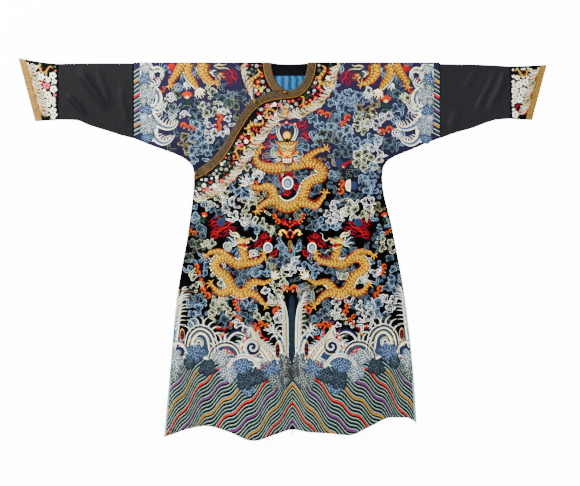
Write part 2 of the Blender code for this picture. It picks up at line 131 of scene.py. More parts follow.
# %% The graph helper
class Term:
    """One output socket of a material's graph, as a number that can be calculated with."""

    def __init__(self, finish, socket):
        self.finish, self.socket = finish, socket

    def _math(self, operation, *values):
        return self.finish.node("ShaderNodeMath", {"operation": operation}, dict(enumerate(values)))

    def __add__(self, other):
        return self._math("ADD", self, other)

    def __sub__(self, other):
        return self._math("SUBTRACT", self, other)

    def __rsub__(self, other):
        return self._math("SUBTRACT", other, self)

    def __mul__(self, other):
        return self._math("MULTIPLY", self, other)

    def __pow__(self, other):
        return self._math("POWER", self, other)

    __radd__, __rmul__ = __add__, __mul__

    def sine(self):
        return self._math("SINE", self)

    def clamp(self):
        return self.finish.node("ShaderNodeClamp", {}, {"Value": self})


class Finish:
    """A named material and the few moves that build its graph."""

    def __init__(self, name, **sockets):
        self.material = bpy.data.materials.new(name)
        self.material.use_nodes = True
        self.tree = self.material.node_tree
        self.shader = self.tree.nodes["Principled BSDF"]
        self.set(**sockets)

    def node(self, kind, settings, inputs, output=0):
        """Add a node: its settings first, then its inputs, which are numbers, colours or Terms."""
        made = self.tree.nodes.new(kind)
        for key, value in settings.items():
            if key == "stops":
                ramp = made.color_ramp
                while len(ramp.elements) < len(value):
                    ramp.elements.new(0.5)
                for element, (at, colour) in zip(ramp.elements, value):
                    element.position, element.color = at, (*colour, 1)
            else:
                setattr(made, key, value)
        for key, value in inputs.items():
            self.feed(made.inputs[key], value)
        return Term(self, made.outputs[output])

    def feed(self, socket, value):
        if isinstance(value, Term):
            self.tree.links.new(value.socket, socket)
        elif hasattr(value, "__len__") and len(value) == 3 and socket.type == "RGBA":
            socket.default_value = (*value, 1)
        else:
            socket.default_value = value

    def set(self, **sockets):
        """Set or link the shader's sockets, named with underscores for spaces."""
        for key, value in sockets.items():
            self.feed(self.shader.inputs[key.replace("_", " ")], value)

    def place(self):
        return self.node("ShaderNodeTexCoord", {}, {}, "Object")

    def uv(self, layer):
        return self.node("ShaderNodeUVMap", {"uv_map": layer}, {})

    def attribute(self, name, output="Color"):
        return self.node("ShaderNodeAttribute", {"attribute_name": name}, {}, output)

    def noise(self, at, scale, detail=2.0, rough=0.5):
        return self.node(
            "ShaderNodeTexNoise", {}, {"Vector": at, "Scale": scale, "Detail": detail, "Roughness": rough},
        )

    def split(self, vector, axis):
        return self.node("ShaderNodeSeparateXYZ", {}, {"Vector": vector}, axis)

    def mix(self, share, first, second):
        inputs = {"Factor": share, 6: first, 7: second}
        return self.node("ShaderNodeMix", {"data_type": "RGBA"}, inputs, 2)

    def tint(self, colour, by):
        """Multiply a colour by a number."""
        return self.node("ShaderNodeVectorMath", {"operation": "SCALE"}, {0: colour, "Scale": by})

    def bump(self, height, depth, strength=1.0):
        """Raise the surface by a height from 0 to 1, times a depth in metres."""
        made = self.node("ShaderNodeBump", {}, {"Strength": strength, "Distance": depth, "Height": height})
        self.feed(self.shader.inputs["Normal"], made)


FILM_CODES = (0, 24, 68, 120, 167, 200, 224, 242)
FILM_LEVELS = (0, 0.004, 0.02, 0.06, 0.16, 0.4, 1.0, 3.0)
FILM_IN = np.array([[0.69, 0.23, 0.08], [0.09, 0.82, 0.09], [0.06, 0.16, 0.78]])
FILM_OUT = np.array([[0.71, 0.19, 0.10], [0.09, 0.89, 0.02], [0.07, 0.16, 0.77]])


def paint(red, green, blue):
    """A material's colour, from the screen values it should have in the picture. The film lifts dark tones
    and greys bright ones, so its curve and its mixing of channels (measured on a chart) are turned round
    here."""
    seen = FILM_OUT @ (np.array([red, green, blue]) / 255) ** 2.26
    level = np.interp(seen ** (1 / 2.26) * 255, FILM_CODES, np.cbrt(FILM_LEVELS)) ** 3
    return np.clip(np.linalg.solve(FILM_IN, level), 0.0, 1.0)


plain_floor = Finish(
    "pale floor", Base_Color=(0.93, 0.93, 0.93), Roughness=0.9, Emission_Color=(1, 1, 1),
    Emission_Strength=12.0,
)
floor_grain = plain_floor.noise(plain_floor.place(), 40, 3)
plain_floor.bump(floor_grain, 0.0002)
floor_mesh.materials.append(plain_floor.material)
print("floor finish ready")

# %% [markdown]
# ## How the cloth lies
#
# The cloth is laid in layers: the back on the floor, the lining and the right front on it, and the outer
# front on top. Below the waist the front rises in long soft folds towards the hem. The tables repeat the
# sizes of the robe's solid panels, so each finer sheet lies where its plain one does.

# %% The robe's own tables
CLOTH, REST, SEAM, LINING_CLOTH = 0.0016, 0.0004, 0.0003, 0.0010
LINING_TOP = CLOTH + REST + LINING_CLOTH
INNER_TOP = LINING_TOP + REST + CLOTH
OUTER_TOP = INNER_TOP + REST + CLOTH
SIDE_TOP = 2 * CLOTH + REST
SLEEVE_HEIGHT = 0.0056
LENGTH, UNDERARM, FOLDS_START, BACK_INSET = 1.400, 0.430, 0.620, 0.006
NECK_HALF, NECK_DROP, BACK_NECK_DROP = 0.067, 0.104, 0.006
TRIM_WIDTH, TRIM_DROP, RING_REACH, RING_DROP = 0.030, 0.0285, 0.1175, 0.1035

Side = namedtuple("Side", "below right left")
SIDES = (
    Side(0.2815, 0.5785, 0.5574),
    Side(0.3037, 0.5260, 0.4990),
    Side(0.3260, 0.4630, 0.4480),
    Side(0.3480, 0.4070, 0.3930),
    Side(0.3700, 0.3740, 0.3600),
    Side(0.3926, 0.3580, 0.3480),
    Side(0.4300, 0.3540, 0.3440),
    Side(0.6150, 0.3740, 0.3810),
    Side(0.8800, 0.4185, 0.4290),
    Side(1.1500, 0.4440, 0.4590),
    Side(1.4000, 0.4667, 0.4760),
)
Hem = namedtuple("Hem", "share below lift")
HEM = (
    Hem(-1.00, 1.389, 0.000),
    Hem(-0.94, 1.380, 0.009),
    Hem(-0.82, 1.360, 0.004),
    Hem(-0.68, 1.349, 0.000),
    Hem(-0.50, 1.368, 0.014),
    Hem(-0.30, 1.400, 0.032),
    Hem(-0.12, 1.376, 0.024),
    Hem(0.01, 1.362, 0.000),
    Hem(0.14, 1.370, 0.022),
    Hem(0.30, 1.374, 0.026),
    Hem(0.45, 1.380, 0.028),
    Hem(0.62, 1.350, 0.014),
    Hem(0.80, 1.318, 0.001),
    Hem(0.92, 1.318, 0.005),
    Hem(1.00, 1.337, 0.000),
)
Section = namedtuple("Section", "edge_x edge trim_x trim band_x band")
OVERLAP = (
    Section(-0.0100, 0.1035, -0.0100, 0.1325, -0.0060, 0.2075),
    Section(-0.0389, 0.1056, -0.0389, 0.1363, -0.0330, 0.2105),
    Section(-0.0648, 0.1085, -0.0640, 0.1407, -0.0520, 0.2310),
    Section(-0.0907, 0.1178, -0.0880, 0.1466, -0.0740, 0.2600),
    Section(-0.1185, 0.1315, -0.1100, 0.1590, -0.0940, 0.2870),
    Section(-0.1389, 0.1463, -0.1280, 0.1730, -0.1110, 0.3110),
    Section(-0.1560, 0.1600, -0.1430, 0.1890, -0.1280, 0.3350),
    Section(-0.1722, 0.1810, -0.1580, 0.2100, -0.1450, 0.3590),
    Section(-0.2056, 0.2370, -0.1910, 0.2630, -0.1740, 0.3980),
    Section(-0.2352, 0.2889, -0.2180, 0.3120, -0.2010, 0.4360),
    Section(-0.2685, 0.3370, -0.2520, 0.3620, -0.2350, 0.4680),
    Section(-0.3130, 0.3778, -0.3010, 0.4060, -0.2900, 0.5040),
    Section(-0.3545, 0.4065, -0.3545, 0.4350, -0.3545, 0.5290),
)
print("tables:", len(SIDES), "side rows,", len(HEM), "hem rows,", len(OVERLAP), "overlap sections")


# %% Smooth curves through the tables
def curve(at, xs, ys):
    """The smooth curve through (xs, ys), read at the values at: a cubic whose slopes never overshoot the
    table."""
    at, xs, ys = (np.asarray(v, float) for v in (at, xs, ys))
    steps = np.diff(xs)
    rises = np.diff(ys) / steps
    flat = rises[:-1] * rises[1:] <= 0
    safe = np.where(flat, 1.0, rises[:-1] + rises[1:])
    inner = np.where(flat, 0.0, 2 * rises[:-1] * rises[1:] / safe)
    slopes = np.concatenate([rises[:1], inner, rises[-1:]])
    i = np.clip(np.searchsorted(xs, at, side="right") - 1, 0, len(steps) - 1)
    h = steps[i]
    t = np.clip((at - xs[i]) / h, 0.0, 1.0)
    start = (1 + 2 * t) * (1 - t) ** 2 * ys[i] + t * (1 - t) ** 2 * h * slopes[i]
    end = t**2 * (3 - 2 * t) * ys[i + 1] - t**2 * (1 - t) * h * slopes[i + 1]
    return start + end


def read(table, key, column, at):
    """A column of a table of named rows, as a smooth function of another column."""
    return curve(at, [getattr(row, key) for row in table], [getattr(row, column) for row in table])


def ease(t):
    """0 below 0, 1 above 1, and an S-shaped step between."""
    t = np.clip(t, 0.0, 1.0)
    return t * t * (3 - 2 * t)


def half_width(below, side):
    """The body's and upper sleeve's reach from the centre at a height, on one side."""
    return read(SIDES, "below", side, np.maximum(below, SIDES[0].below))


def overlap_line(name, count):
    """Points along one of the overlap's lines: its free edge, the end of its trim or the end of its
    band."""
    at, index = np.linspace(0, len(OVERLAP) - 1, count), np.arange(len(OVERLAP))
    across = curve(at, index, [getattr(row, name + "_x") for row in OVERLAP])
    return np.stack([across, curve(at, index, [getattr(row, name) for row in OVERLAP])], axis=-1)


print("half width at the hem:", round(float(half_width(1.4, "left")), 3))

# %% [markdown]
# ## Folds and creases
#
# Two kinds of relief shape the cloth. The long folds grow from the waist to the hem. Over them go single
# creases: each is a soft ridge along a line, steeper on one side, that fades out at both
# ends, because cloth that has been smoothed down by hand keeps such ridges at the underarms, on the sleeves
# and down the skirt.

# %% Height of the laid cloth
Crease = namedtuple("Crease", "x0 down0 x1 down1 half height")
FRONT_CREASES = (
    Crease(-128, 96, -96, 132, 5, 5.0),
    Crease(-116, 100, -88, 150, 4, 3.6),
    Crease(-104, 92, -76, 116, 4, 2.0),
    Crease(116, 98, 92, 140, 5, 4.6),
    Crease(104, 100, 84, 160, 4, 2.4),
    Crease(96, 150, 82, 214, 5, 2.2),
    Crease(-90, 160, -84, 226, 5, 2.0),
    Crease(-97, 262, -118, 352, 7, 3.6),
    Crease(-44, 262, -52, 362, 9, 3.0),
    Crease(-18, 214, -14, 312, 7, 2.6),
    Crease(9, 226, 10, 350, 4, 6.0),
    Crease(-5, 226, -4, 356, 4, 7.0),
    Crease(44, 232, 58, 356, 9, 3.0),
    Crease(92, 268, 104, 348, 7, 3.4),
    Crease(70, 190, 84, 262, 6, 2.0),
    Crease(-62, 196, -70, 258, 6, 1.8),
    Crease(30, 86, 72, 122, 6, 1.4),
    Crease(120, 20, 142, 60, 6, 2.0),
)
SLEEVE_CREASES = (
    Crease(-212, 4, -182, 52, 5, 8.0),
    Crease(-224, 30, -204, 56, 3.6, 6.0),
    Crease(-196, 4, -176, 44, 3.5, 3.0),
    Crease(-170, 20, -160, 66, 4, 2.6),
    Crease(217, 5, 196, 52, 4.5, 9.5),
    Crease(206, 6, 186, 54, 3.4, 5.0),
    Crease(170, 46, 160, 70, 5, 5.0),
    Crease(186, 4, 172, 30, 4, 3.0),
    Crease(228, 8, 222, 52, 3.0, 3.0),
)


def ridges(x, below, creases):
    """The sum of soft ridges: each falls off like a bell across its line, faster on one side, and eases out
    at its ends."""
    lift = np.zeros(np.broadcast(x, below).shape)
    for c in creases:
        start = np.array([c.x0, c.down0]) * STEP
        run = np.array([c.x1 - c.x0, c.down1 - c.down0]) * STEP
        dx, dy = x - start[0], below - start[1]
        long = np.hypot(*run)
        t = (dx * run[0] + dy * run[1]) / long**2
        bend = 1.6 * STEP * np.sin(3.0 * t + c.x0)
        across = (dx * run[1] - dy * run[0]) / long + bend
        half = c.half * STEP * np.where(across > 0, 1.0, 0.62)
        lift += c.height * 0.001 * np.exp(-((across / half) ** 2)) * ease(t / 0.3) * ease((1 - t) / 0.3)
    return lift


def seam_line(below):
    """Where the centre front seam lies: it drifts a little towards the left side below the waist."""
    return 0.011 * ease((below - 0.85) / 0.35)


def hem_share(x, below):
    """How far across the body a point lies, from -1 at the right side to 1 at the left."""
    side = np.where(x < 0, half_width(below, "right"), half_width(below, "left"))
    return np.clip(x / side, -1.0, 1.0)


def fold_lift(x, below):
    """How high the front's long folds rise, growing from the waist to the hem."""
    grown = ease((below - FOLDS_START) / (LENGTH - FOLDS_START)) ** 1.15
    return read(HEM, "share", "lift", hem_share(x, below)) * grown


def side_distance(x, below):
    """How far a point lies inside the sleeve's under seam and the body's side, measured across and down."""
    side = np.where(x < 0, half_width(below, "right"), half_width(below, "left"))
    arm = np.where(below < SIDES[0].below, SIDES[0].below - below + 0.02, 0.0)
    slope = np.where(below < UNDERARM, 0.42, 1.0)
    return np.maximum(np.maximum((side - np.abs(x)) * slope, 0.0), arm)


def front_top(x, below):
    """The height of the front's outer face: its layers, long folds and creases."""
    crown = OUTER_TOP - (OUTER_TOP - SLEEVE_HEIGHT) * ease((x - 0.20) / 0.14)
    near = side_distance(x, below)
    left = crown - (SLEEVE_HEIGHT - SIDE_TOP) * (1 - ease(near / 0.035)) * (x > 0.12)
    outside_collar = ease((np.hypot(x / 0.200, below / 0.225) - 1) / 0.25)
    folds = fold_lift(x, below) * np.where(x > 0, ease(near / 0.05), 1.0)
    return left + folds + ridges(x, below, FRONT_CREASES) * ease(near / 0.03) * outside_collar


def right_top(x, below):
    """The height of the right front, which lies under the outer front, and of the right upper sleeve."""
    crown = INNER_TOP + (SLEEVE_HEIGHT - INNER_TOP) * ease((-x - 0.40) / 0.12)
    near = side_distance(x, below)
    base = crown - (crown - SIDE_TOP) * (1 - ease(near / 0.035))
    return (
        base + ridges(x, below, FRONT_CREASES) * ease(near / 0.03) * ease((-x - 0.26) / 0.06) * (below < 0.40)
    )


print("highest fold:", round(float(front_top(np.array([-0.139]), np.array([1.39]))[0]) * 1000, 1), "mm")


# %% Turning points into meshes
def to_frame(x, below, z):
    """Robe coordinates (across, below, height) in metres, as the frame's x, y and z."""
    return np.stack(np.broadcast_arrays(x + CENTRE_X, SHOULDER_Y - below, z), axis=-1)


def new_piece(name, points, faces, finish):
    """Put points and faces into a named mesh object that rides on the robe."""
    mesh = bpy.data.meshes.new(name)
    mesh.vertices.add(len(points))
    mesh.vertices.foreach_set("co", np.ascontiguousarray(points, np.float32).ravel())
    mesh.loops.add(faces.size)
    mesh.loops.foreach_set("vertex_index", np.ascontiguousarray(faces, np.int32).ravel())
    mesh.polygons.add(len(faces))
    mesh.polygons.foreach_set("loop_start", np.arange(0, faces.size, faces.shape[1], dtype=np.int32))
    mesh.polygons.foreach_set("use_smooth", np.ones(len(faces), bool))
    mesh.update(calc_edges=True)
    mesh.materials.append(finish.material)
    obj = bpy.data.objects.new(name, mesh)
    bpy.context.scene.collection.objects.link(obj)
    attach(obj, "root")
    return obj


def add_uv(obj, name, per_point):
    """A UV map from one pair of numbers for each point."""
    corners = np.empty(len(obj.data.loops), np.int32)
    obj.data.loops.foreach_get("vertex_index", corners)
    layer = obj.data.uv_layers.new(name=name)
    layer.data.foreach_set("uv", np.ascontiguousarray(per_point[corners], np.float32).ravel())


def grid_faces(rows, columns, closed=False):
    """Four-sided faces between the rows and columns of a grid of points."""
    index = np.arange(rows * columns).reshape(rows, columns)
    if closed:
        index = np.concatenate([index, index[:, :1]], axis=1)
    corners = (index[:-1, :-1], index[:-1, 1:], index[1:, 1:], index[1:, :-1])
    return np.stack(corners, axis=-1).reshape(-1, 4)


def triangles(quads):
    """Each four-sided face as two triangles."""
    return np.concatenate([quads[:, [0, 1, 2]], quads[:, [0, 2, 3]]])


def along_lines(points, count):
    """count points on the smooth line through a few given ones (a cubic through four neighbours at a
    time)."""
    points = np.asarray(points, float)
    padded = np.concatenate([2 * points[:1] - points[1:2], points, 2 * points[-1:] - points[-2:-1]])
    at = np.linspace(0, len(points) - 1, count)
    i = np.minimum(at.astype(int), len(points) - 2)
    t = (at - i)[:, None]
    a, b, c, d = padded[i], padded[i + 1], padded[i + 2], padded[i + 3]
    return 0.5 * (2 * b + (c - a) * t + (2 * a - 5 * b + 4 * c - d) * t**2 + (3 * b - a - 3 * c + d) * t**3)


def cloth_piece(name, points, finish, thickness, nodes, closed=False):
    """A sheet of cloth from a grid of points on its outer face, given its wall by Solidify."""
    rows, columns = points.shape[:2]
    obj = new_piece(name, points.reshape(-1, 3), grid_faces(rows, columns, closed), finish)
    along = np.concatenate([[0], np.cumsum(np.linalg.norm(np.diff(points[:, columns // 2], axis=0), axis=1))])
    across_and_along = np.stack(np.broadcast_arrays(points[..., 0], along[:, None]), axis=-1)
    add_uv(obj, "cloth", across_and_along.reshape(-1, 2))
    wall = obj.modifiers.new("wall", "SOLIDIFY")
    wall.thickness, wall.offset, wall.use_even_offset = thickness, -1.0, True
    if nodes:
        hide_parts(*nodes)
    return obj


def cut_area(points):
    """The area of a grid of points, in square metres."""
    a, b = np.diff(points, axis=1)[:-1], np.diff(points, axis=0)[:, :-1]
    return float(np.linalg.norm(np.cross(a, b), axis=-1).sum())


# %% [markdown]
# ## Satin, ribbed silk and brocade
#
# Satin's threads float over many others, so it is smooth along one way and shows only fine lines the other
# way. The ground is midnight blue, near black low on the robe and painted paler and more purple over the
# chest as a painted sheen. The lower sleeves are a black silk with fine ribs across the arm. The trims are a
# brown brocade with a small gold figure.

# %% Cloth finishes
satin = Finish("midnight satin", Roughness=0.42, Specular_IOR_Level=0.03)
at = satin.place()
down = satin.split(at, "Y")
age = satin.noise(at, 7, 4)
# Painted sheen: the ground runs from near black low on the robe to a paler, more purple blue over the upper
# body, with a noisy edge.
painted_sheen = ((down * 4.0 - 0.75) + (age - 0.5) * 0.8).clamp()
ground = satin.mix(painted_sheen, paint(6, 6, 10), paint(52, 54, 90))
satin.set(Base_Color=satin.tint(ground, 0.85 + age * 0.3))
thread = satin.uv("cloth")
lines = (satin.split(thread, "X") * 5200).sine()
satin.bump(lines * 0.5 + satin.noise(at, 900, 2), 0.00012, 0.5)

lining_silk = Finish("light blue lining", Roughness=0.4, Specular_IOR_Level=0.1)
at = lining_silk.place()
# Painted light and shade: the colour runs from dark blue to pale blue in stripes that follow the gathers, as
# shade in their hollows and light on their ridges.
lean = lining_silk.split(at, "X") * 240 + lining_silk.split(at, "Y") * 14
gathers = (lean + lining_silk.noise(at, 30, 3) * 5).sine() * 0.5 + 0.5
lining_silk.set(Base_Color=lining_silk.mix(
    gathers * 0.75 + lining_silk.noise(at, 60, 3) * 0.25, paint(28, 66, 90), paint(96, 164, 196),
))
lining_silk.bump(lining_silk.noise(at, 700, 3), 0.0002, 0.6)

black_silk = Finish("black satin", Roughness=0.45, Specular_IOR_Level=0.02)
at = black_silk.place()
black_silk.set(Base_Color=black_silk.mix(black_silk.noise(at, 12, 4), paint(12, 13, 16), paint(26, 26, 32)))
black_silk.bump(black_silk.noise(at, 900, 2), 0.00012, 0.5)

ribbed = Finish("ribbed black silk", Roughness=0.5, Specular_IOR_Level=0.04)
at = ribbed.place()
ribs = (ribbed.split(at, "X") * 1150 + ribbed.noise(at, 25, 3) * 6).sine() * 0.5 + 0.5
# Painted shade and light: the colour is darker in the grooves between the ribs, and it is scaled across x,
# darker on the sleeve nearer the key light (x below 0) and brighter on the other sleeve.
shade = ribbed.mix(ribs * 0.7 + ribbed.noise(at, 60, 4) * 0.3, paint(29, 30, 34), paint(52, 54, 59))
ribbed.set(Base_Color=ribbed.tint(shade, ribbed.split(at, "X") * 0.45 + 1.05))
ribbed.bump(ribs, 0.0005, 0.8)

brocade = Finish("brown brocade", Roughness=0.5, Specular_IOR_Level=0.08)
at = brocade.place()
cells = brocade.node(
    "ShaderNodeTexVoronoi", {}, {"Vector": at, "Scale": 300.0, "Randomness": 0.45}, "Distance",
)
figure = (1.15 - cells * 1.5).clamp()
small = brocade.noise(at, 420, 2)
gold_share = (figure * 0.9 + (small - 0.5) * 1.6).clamp()
across = brocade.split(at, "X")
bright = (across * across * 1.6 - 0.55).clamp()
shown = brocade.mix(bright, paint(156, 130, 92), paint(214, 186, 132))
brocade.set(
    Base_Color=brocade.mix(gold_share, brocade.mix(bright, paint(58, 46, 36), paint(140, 104, 62)), shown),
    Metallic=gold_share * 0.1,
)
brocade.bump(gold_share * 0.6 + small * 0.4, 0.0004, 0.7)

pale_silk = Finish("pale blue edging", Roughness=0.5, Specular_IOR_Level=0.1)
at = pale_silk.place()
pale_silk.set(Base_Color=pale_silk.mix(
    pale_silk.noise(at, 50, 3), paint(130, 146, 150), paint(196, 206, 206),
))
pale_silk.bump(pale_silk.noise(at, 800, 2), 0.0002, 0.6)

gilt = Finish("gilt brass", Roughness=0.32, Metallic=1.0)
at = gilt.place()
wear = gilt.noise(at, 260, 4)
gilt.set(Base_Color=gilt.mix(wear, paint(120, 84, 40), paint(220, 180, 110)))
chasing = gilt.node("ShaderNodeTexVoronoi", {}, {"Vector": at, "Scale": 700.0}, "Distance")
gilt.bump(chasing, 0.0004, 0.7)

piping = Finish("yellow silk piping", Roughness=0.45, Specular_IOR_Level=0.1)
at = piping.place()
turns = (piping.split(at, "X") * 2600 + piping.split(at, "Y") * 2600).sine() * 0.5 + 0.5
# Painted shade: the cord's colour is darker in the grooves of its twist, on the same wave as its bump.
piping.set(Base_Color=piping.mix(turns, paint(150, 104, 44), paint(214, 172, 92)))
piping.bump(turns, 0.0003, 0.8)
print("finishes:", len(bpy.data.materials))


# %% [markdown]
# ## The body's panels
#
# Each half is cut in one piece: the front goes over the shoulder in a soft fold and becomes the back. So it
# is one grid whose rows run from the front hem, over the fold, to the back hem. The outer front is a
# separate sheet whose upper rows end on its diagonal edge.

# %% Rows of the two halves and the outer front
def neck_opening(below, drop):
    """The half width of the neck opening at a height: a half ellipse that ends drop below the shoulder."""
    return NECK_HALF * np.sqrt(np.clip(1 - (below / drop) ** 2, 0.0, 1.0))


def rows_above(round_arm, sleeve, neck):
    """Heights of the rows from the underarm up to just under the shoulder fold."""
    return np.concatenate(
        [
            np.linspace(UNDERARM, SIDES[0].below, round_arm),
            np.linspace(SIDES[0].below, NECK_DROP, sleeve)[1:],
            NECK_DROP * np.sin(np.linspace(math.pi / 2, 0.0, neck))[1:-1],
        ]
    )


SIGN = {"right": -1, "left": 1}


def laid_rows(side, u, to_hem, heights, drop, hem_inset):
    """x and below for a half's rows, from the hem to just under the shoulder fold."""
    sign = SIGN[side]
    hem = read(HEM, "share", "below", sign * u) - hem_inset
    low = UNDERARM + np.linspace(1.0, 0.0, to_hem + 1)[:-1, None] * (hem - UNDERARM)[None, :]
    below = np.concatenate([low, np.repeat(heights[:, None], len(u), axis=1)])
    inner = np.maximum(neck_opening(below, drop), SEAM / 2)
    return sign * (inner + (half_width(below, side) - inner) * u) + seam_line(below) * (1 - u), below


def half_body(side, top_of, columns, to_hem, hem_inset):
    """One half's points: the front, half a circle over the shoulder, the dip of the back neck, and the
    back."""
    sign = SIGN[side]
    u = np.linspace(0.0, 1.0, columns)
    x, below = laid_rows(side, u, to_hem, rows_above(26, 14, 18), NECK_DROP, hem_inset)
    front = np.stack([x, below, top_of(x, below)], axis=-1)
    edge = sign * (NECK_HALF + (half_width(0.0, side) - NECK_HALF) * u)
    radius = top_of(edge, np.zeros(columns)) / 2
    turns = np.linspace(0.0, math.pi, 9)[:, None]
    fold = np.stack([edge + 0 * turns, radius * (1 - np.sin(turns)), radius * (np.cos(turns) + 1)], axis=-1)
    dip = BACK_NECK_DROP + np.array([0.0, 0.0015])[:, None] + 0 * u
    inner = np.array([NECK_HALF * 0.55, SEAM / 2])[:, None]
    neck = np.stack([sign * (inner + (half_width(dip, side) - inner) * u), dip, 0 * dip], axis=-1)
    x, below = laid_rows(side, u, 24, rows_above(14, 5, 2), BACK_NECK_DROP, BACK_INSET)
    back = np.stack([x, below, np.zeros_like(x)], axis=-1)[::-1]
    points = np.concatenate([front, fold, neck, back])
    points = to_frame(points[..., 0], points[..., 1], points[..., 2])
    return points if sign > 0 else points[:, ::-1]


def overlap_points(columns):
    """The outer front's points: rows across to the side below the joint, and to the diagonal edge above
    it."""
    u = np.linspace(0.0, 1.0, columns)
    hem = read(HEM, "share", "below", -u)
    joint = OVERLAP[-1].edge
    low = joint + np.linspace(1.0, 0.0, 116)[:, None] * (hem - joint)[None, :]
    x_low = -(SEAM / 2 + (half_width(low, "right") - SEAM / 2) * u) + seam_line(low) * (1 - u)
    ends = overlap_line("edge", 61)[::-1][1:]
    starts = np.linspace(joint, OVERLAP[0].edge, len(ends) + 1)[1:]
    x_high = -(SEAM / 2 + (-ends[:, :1] - SEAM / 2) * u)
    high = starts[:, None] + (ends[:, 1:] - starts[:, None]) * u
    x, below = np.concatenate([x_low, x_high]), np.concatenate([low, high])
    return to_frame(x, below, front_top(x, below))[:, ::-1]


left_points = half_body("left", front_top, 72, 116, 0.0)
right_points = half_body("right", right_top, 56, 40, BACK_INSET)
outer_points = overlap_points(72)
left_half = cloth_piece("cloth_left_half", left_points, satin, CLOTH, ["body_left"])
right_half = cloth_piece("cloth_right_half", right_points, satin, CLOTH, ["body_right"])
outer_front = cloth_piece("cloth_outer_front", outer_points, satin, CLOTH, ["outer_front"])
print("cut areas, m2:", [round(cut_area(p), 2) for p in (left_points, right_points, outer_points)])

# %% [markdown]
# ## Sleeves, cuffs, collar and lining
#
# The lower sleeves and the hoof-shaped cuffs are tubes, pressed flat. The collar band and its brocade trim
# are strips that follow the neck and then the diagonal edge of the outer front, so they are built between
# two matching lines and laid on the cloth under them. Inside the neck the back facing and the gathered
# lining show.

# %% Tubes and strips
Ring = namedtuple("Ring", "out top low")
RIGHT_SLEEVE = (
    Ring(0.5791, 0.0030, 0.2825),
    Ring(0.6260, 0.0030, 0.2704),
    Ring(0.6850, 0.0030, 0.2519),
    Ring(0.7444, 0.0032, 0.2333),
    Ring(0.7926, 0.0040, 0.2150),
    Ring(0.8556, 0.0055, 0.2133),
)
LEFT_SLEEVE = (
    Ring(0.5580, 0.0055, 0.2825),
    Ring(0.6185, 0.0070, 0.2610),
    Ring(0.6778, 0.0075, 0.2444),
    Ring(0.7370, 0.0100, 0.2222),
    Ring(0.7700, 0.0115, 0.2133),
    Ring(0.8180, 0.0148, 0.2100),
)
Cuff = namedtuple("Cuff", "seam end_top end_low top_at_end low_at_end trim")
CUFFS = {
    "right": Cuff(0.8559, 1.0055, 0.9430, -0.0165, 0.2195, 0.026),
    "left": Cuff(0.8183, 0.9545, 0.8995, 0.0090, 0.2150, 0.023),
}
SLEEVES = {"right": RIGHT_SLEEVE, "left": LEFT_SLEEVE}
TRIM_CLOTH, BAND_CLOTH, EDGING_WIDTH, EDGING_CLOTH, SLIT_TOP = 0.0014, 0.0010, 0.0075, 0.0008, 0.852


# %% Points of a tube and of a strip
def facing_up(points):
    """A grid of points, turned over if its faces look down."""
    a, b = points[1:, :-1] - points[:-1, :-1], points[:-1, 1:] - points[:-1, :-1]
    return points if np.cross(b, a)[..., 2].sum() > 0 else points[:, ::-1]


def flat_tube(place, top, low, height, lift):
    """A ring of points for each section of a tube that is pressed flat, with a half circle at each fold.
    place gives x from the share of the way down."""
    turns, radius = np.linspace(0.0, math.pi, 7), height / 2
    over, under = np.linspace(0.0, 1.0, 54)[1:-1], np.linspace(1.0, 0.0, 10)[1:-1]
    high, bottom = top[:, None] + radius, low[:, None] - radius
    parts = (high - radius * np.sin(turns), high + (bottom - high) * over)
    below = np.concatenate([*parts, bottom + radius * np.sin(turns), high + (bottom - high) * under], axis=1)
    level = (radius - radius * np.cos(turns), np.full(len(over), height), radius + radius * np.cos(turns))
    z = np.concatenate([*level, np.zeros(len(under))])
    x = place((below - top[:, None]) / (low - top)[:, None])
    return to_frame(x, below, z + lift(x, below) * ease((z - radius) / radius))


def in_order(rings):
    """A tube's rings, from the lower x to the higher."""
    return rings if rings[0, 0, 0] < rings[-1, 0, 0] else rings[::-1]


def trim_start(side, room=0.0):
    """Where a cuff's trim starts, as shares of the way from the seam to the end, at the fold and at the low
    edge."""
    cuff = CUFFS[side]
    return 1 - (cuff.trim + room) / np.array([cuff.end_top - cuff.seam, cuff.end_low - cuff.seam])


def cuff_sections(side, start, end, count):
    """Place, top and low for sections of the cuff, which slants: it is longest at the fold over the arm.
    start and end are shares at the fold and at the low edge."""
    sign, cuff, last = SIGN[side], CUFFS[side], SLEEVES[side][-1]
    along = start + np.linspace(0, 1, count)[:, None] * (np.asarray(end) - start)
    top = last.top + (cuff.top_at_end - last.top) * along[:, 0] ** 1.5
    low = last.low + (cuff.low_at_end - last.low) * along[:, 1]
    reach = (cuff.end_top - cuff.seam, cuff.end_low - cuff.seam)

    def place(share):
        here = along[:, :1] + (along[:, 1:] - along[:, :1]) * share
        return sign * (cuff.seam + here * (reach[0] + (reach[1] - reach[0]) * share))

    return place, top, low


def cuff_line(side, along, share):
    """A line across the front of a cuff. along holds its shares of the way out at the fold and at the low
    edge, and share says which stretch of the line is read."""
    place, top, low = cuff_sections(side, along, along, 1)
    return np.stack([place(share)[0], top[0] + (low[0] - top[0]) * share], axis=-1)


def strip_points(near, far, columns, top_of, lift):
    """A strip laid between two matching lines, lifted off the cloth under it."""
    share = np.linspace(0.0, 1.0, columns)[:, None]
    places = near[:, None] + (far - near)[:, None] * share
    x, below = places[..., 0], places[..., 1]
    return facing_up(to_frame(x, below, top_of(x, below) + lift))


def cut_size(points):
    """Length and width of a strip as it was cut: its middle line, and its area over that length."""
    middle = points[:, points.shape[1] // 2]
    length = float(np.linalg.norm(np.diff(middle, axis=0), axis=1).sum())
    return cut_area(points) / length, length


def neck_line(start, end, count, beyond, drop):
    """Points on an ellipse round the front of the neck. Angles run from the left shoulder, 0, to the right,
    180."""
    turn = np.radians(np.linspace(start, end, count))
    return np.stack([(NECK_HALF + beyond) * np.cos(turn), (NECK_DROP + drop) * np.sin(turn)], axis=-1)


def round_area(rings):
    """The area of a tube's cloth, all round."""
    return cut_area(np.concatenate([rings, rings[:, :1]], axis=1))


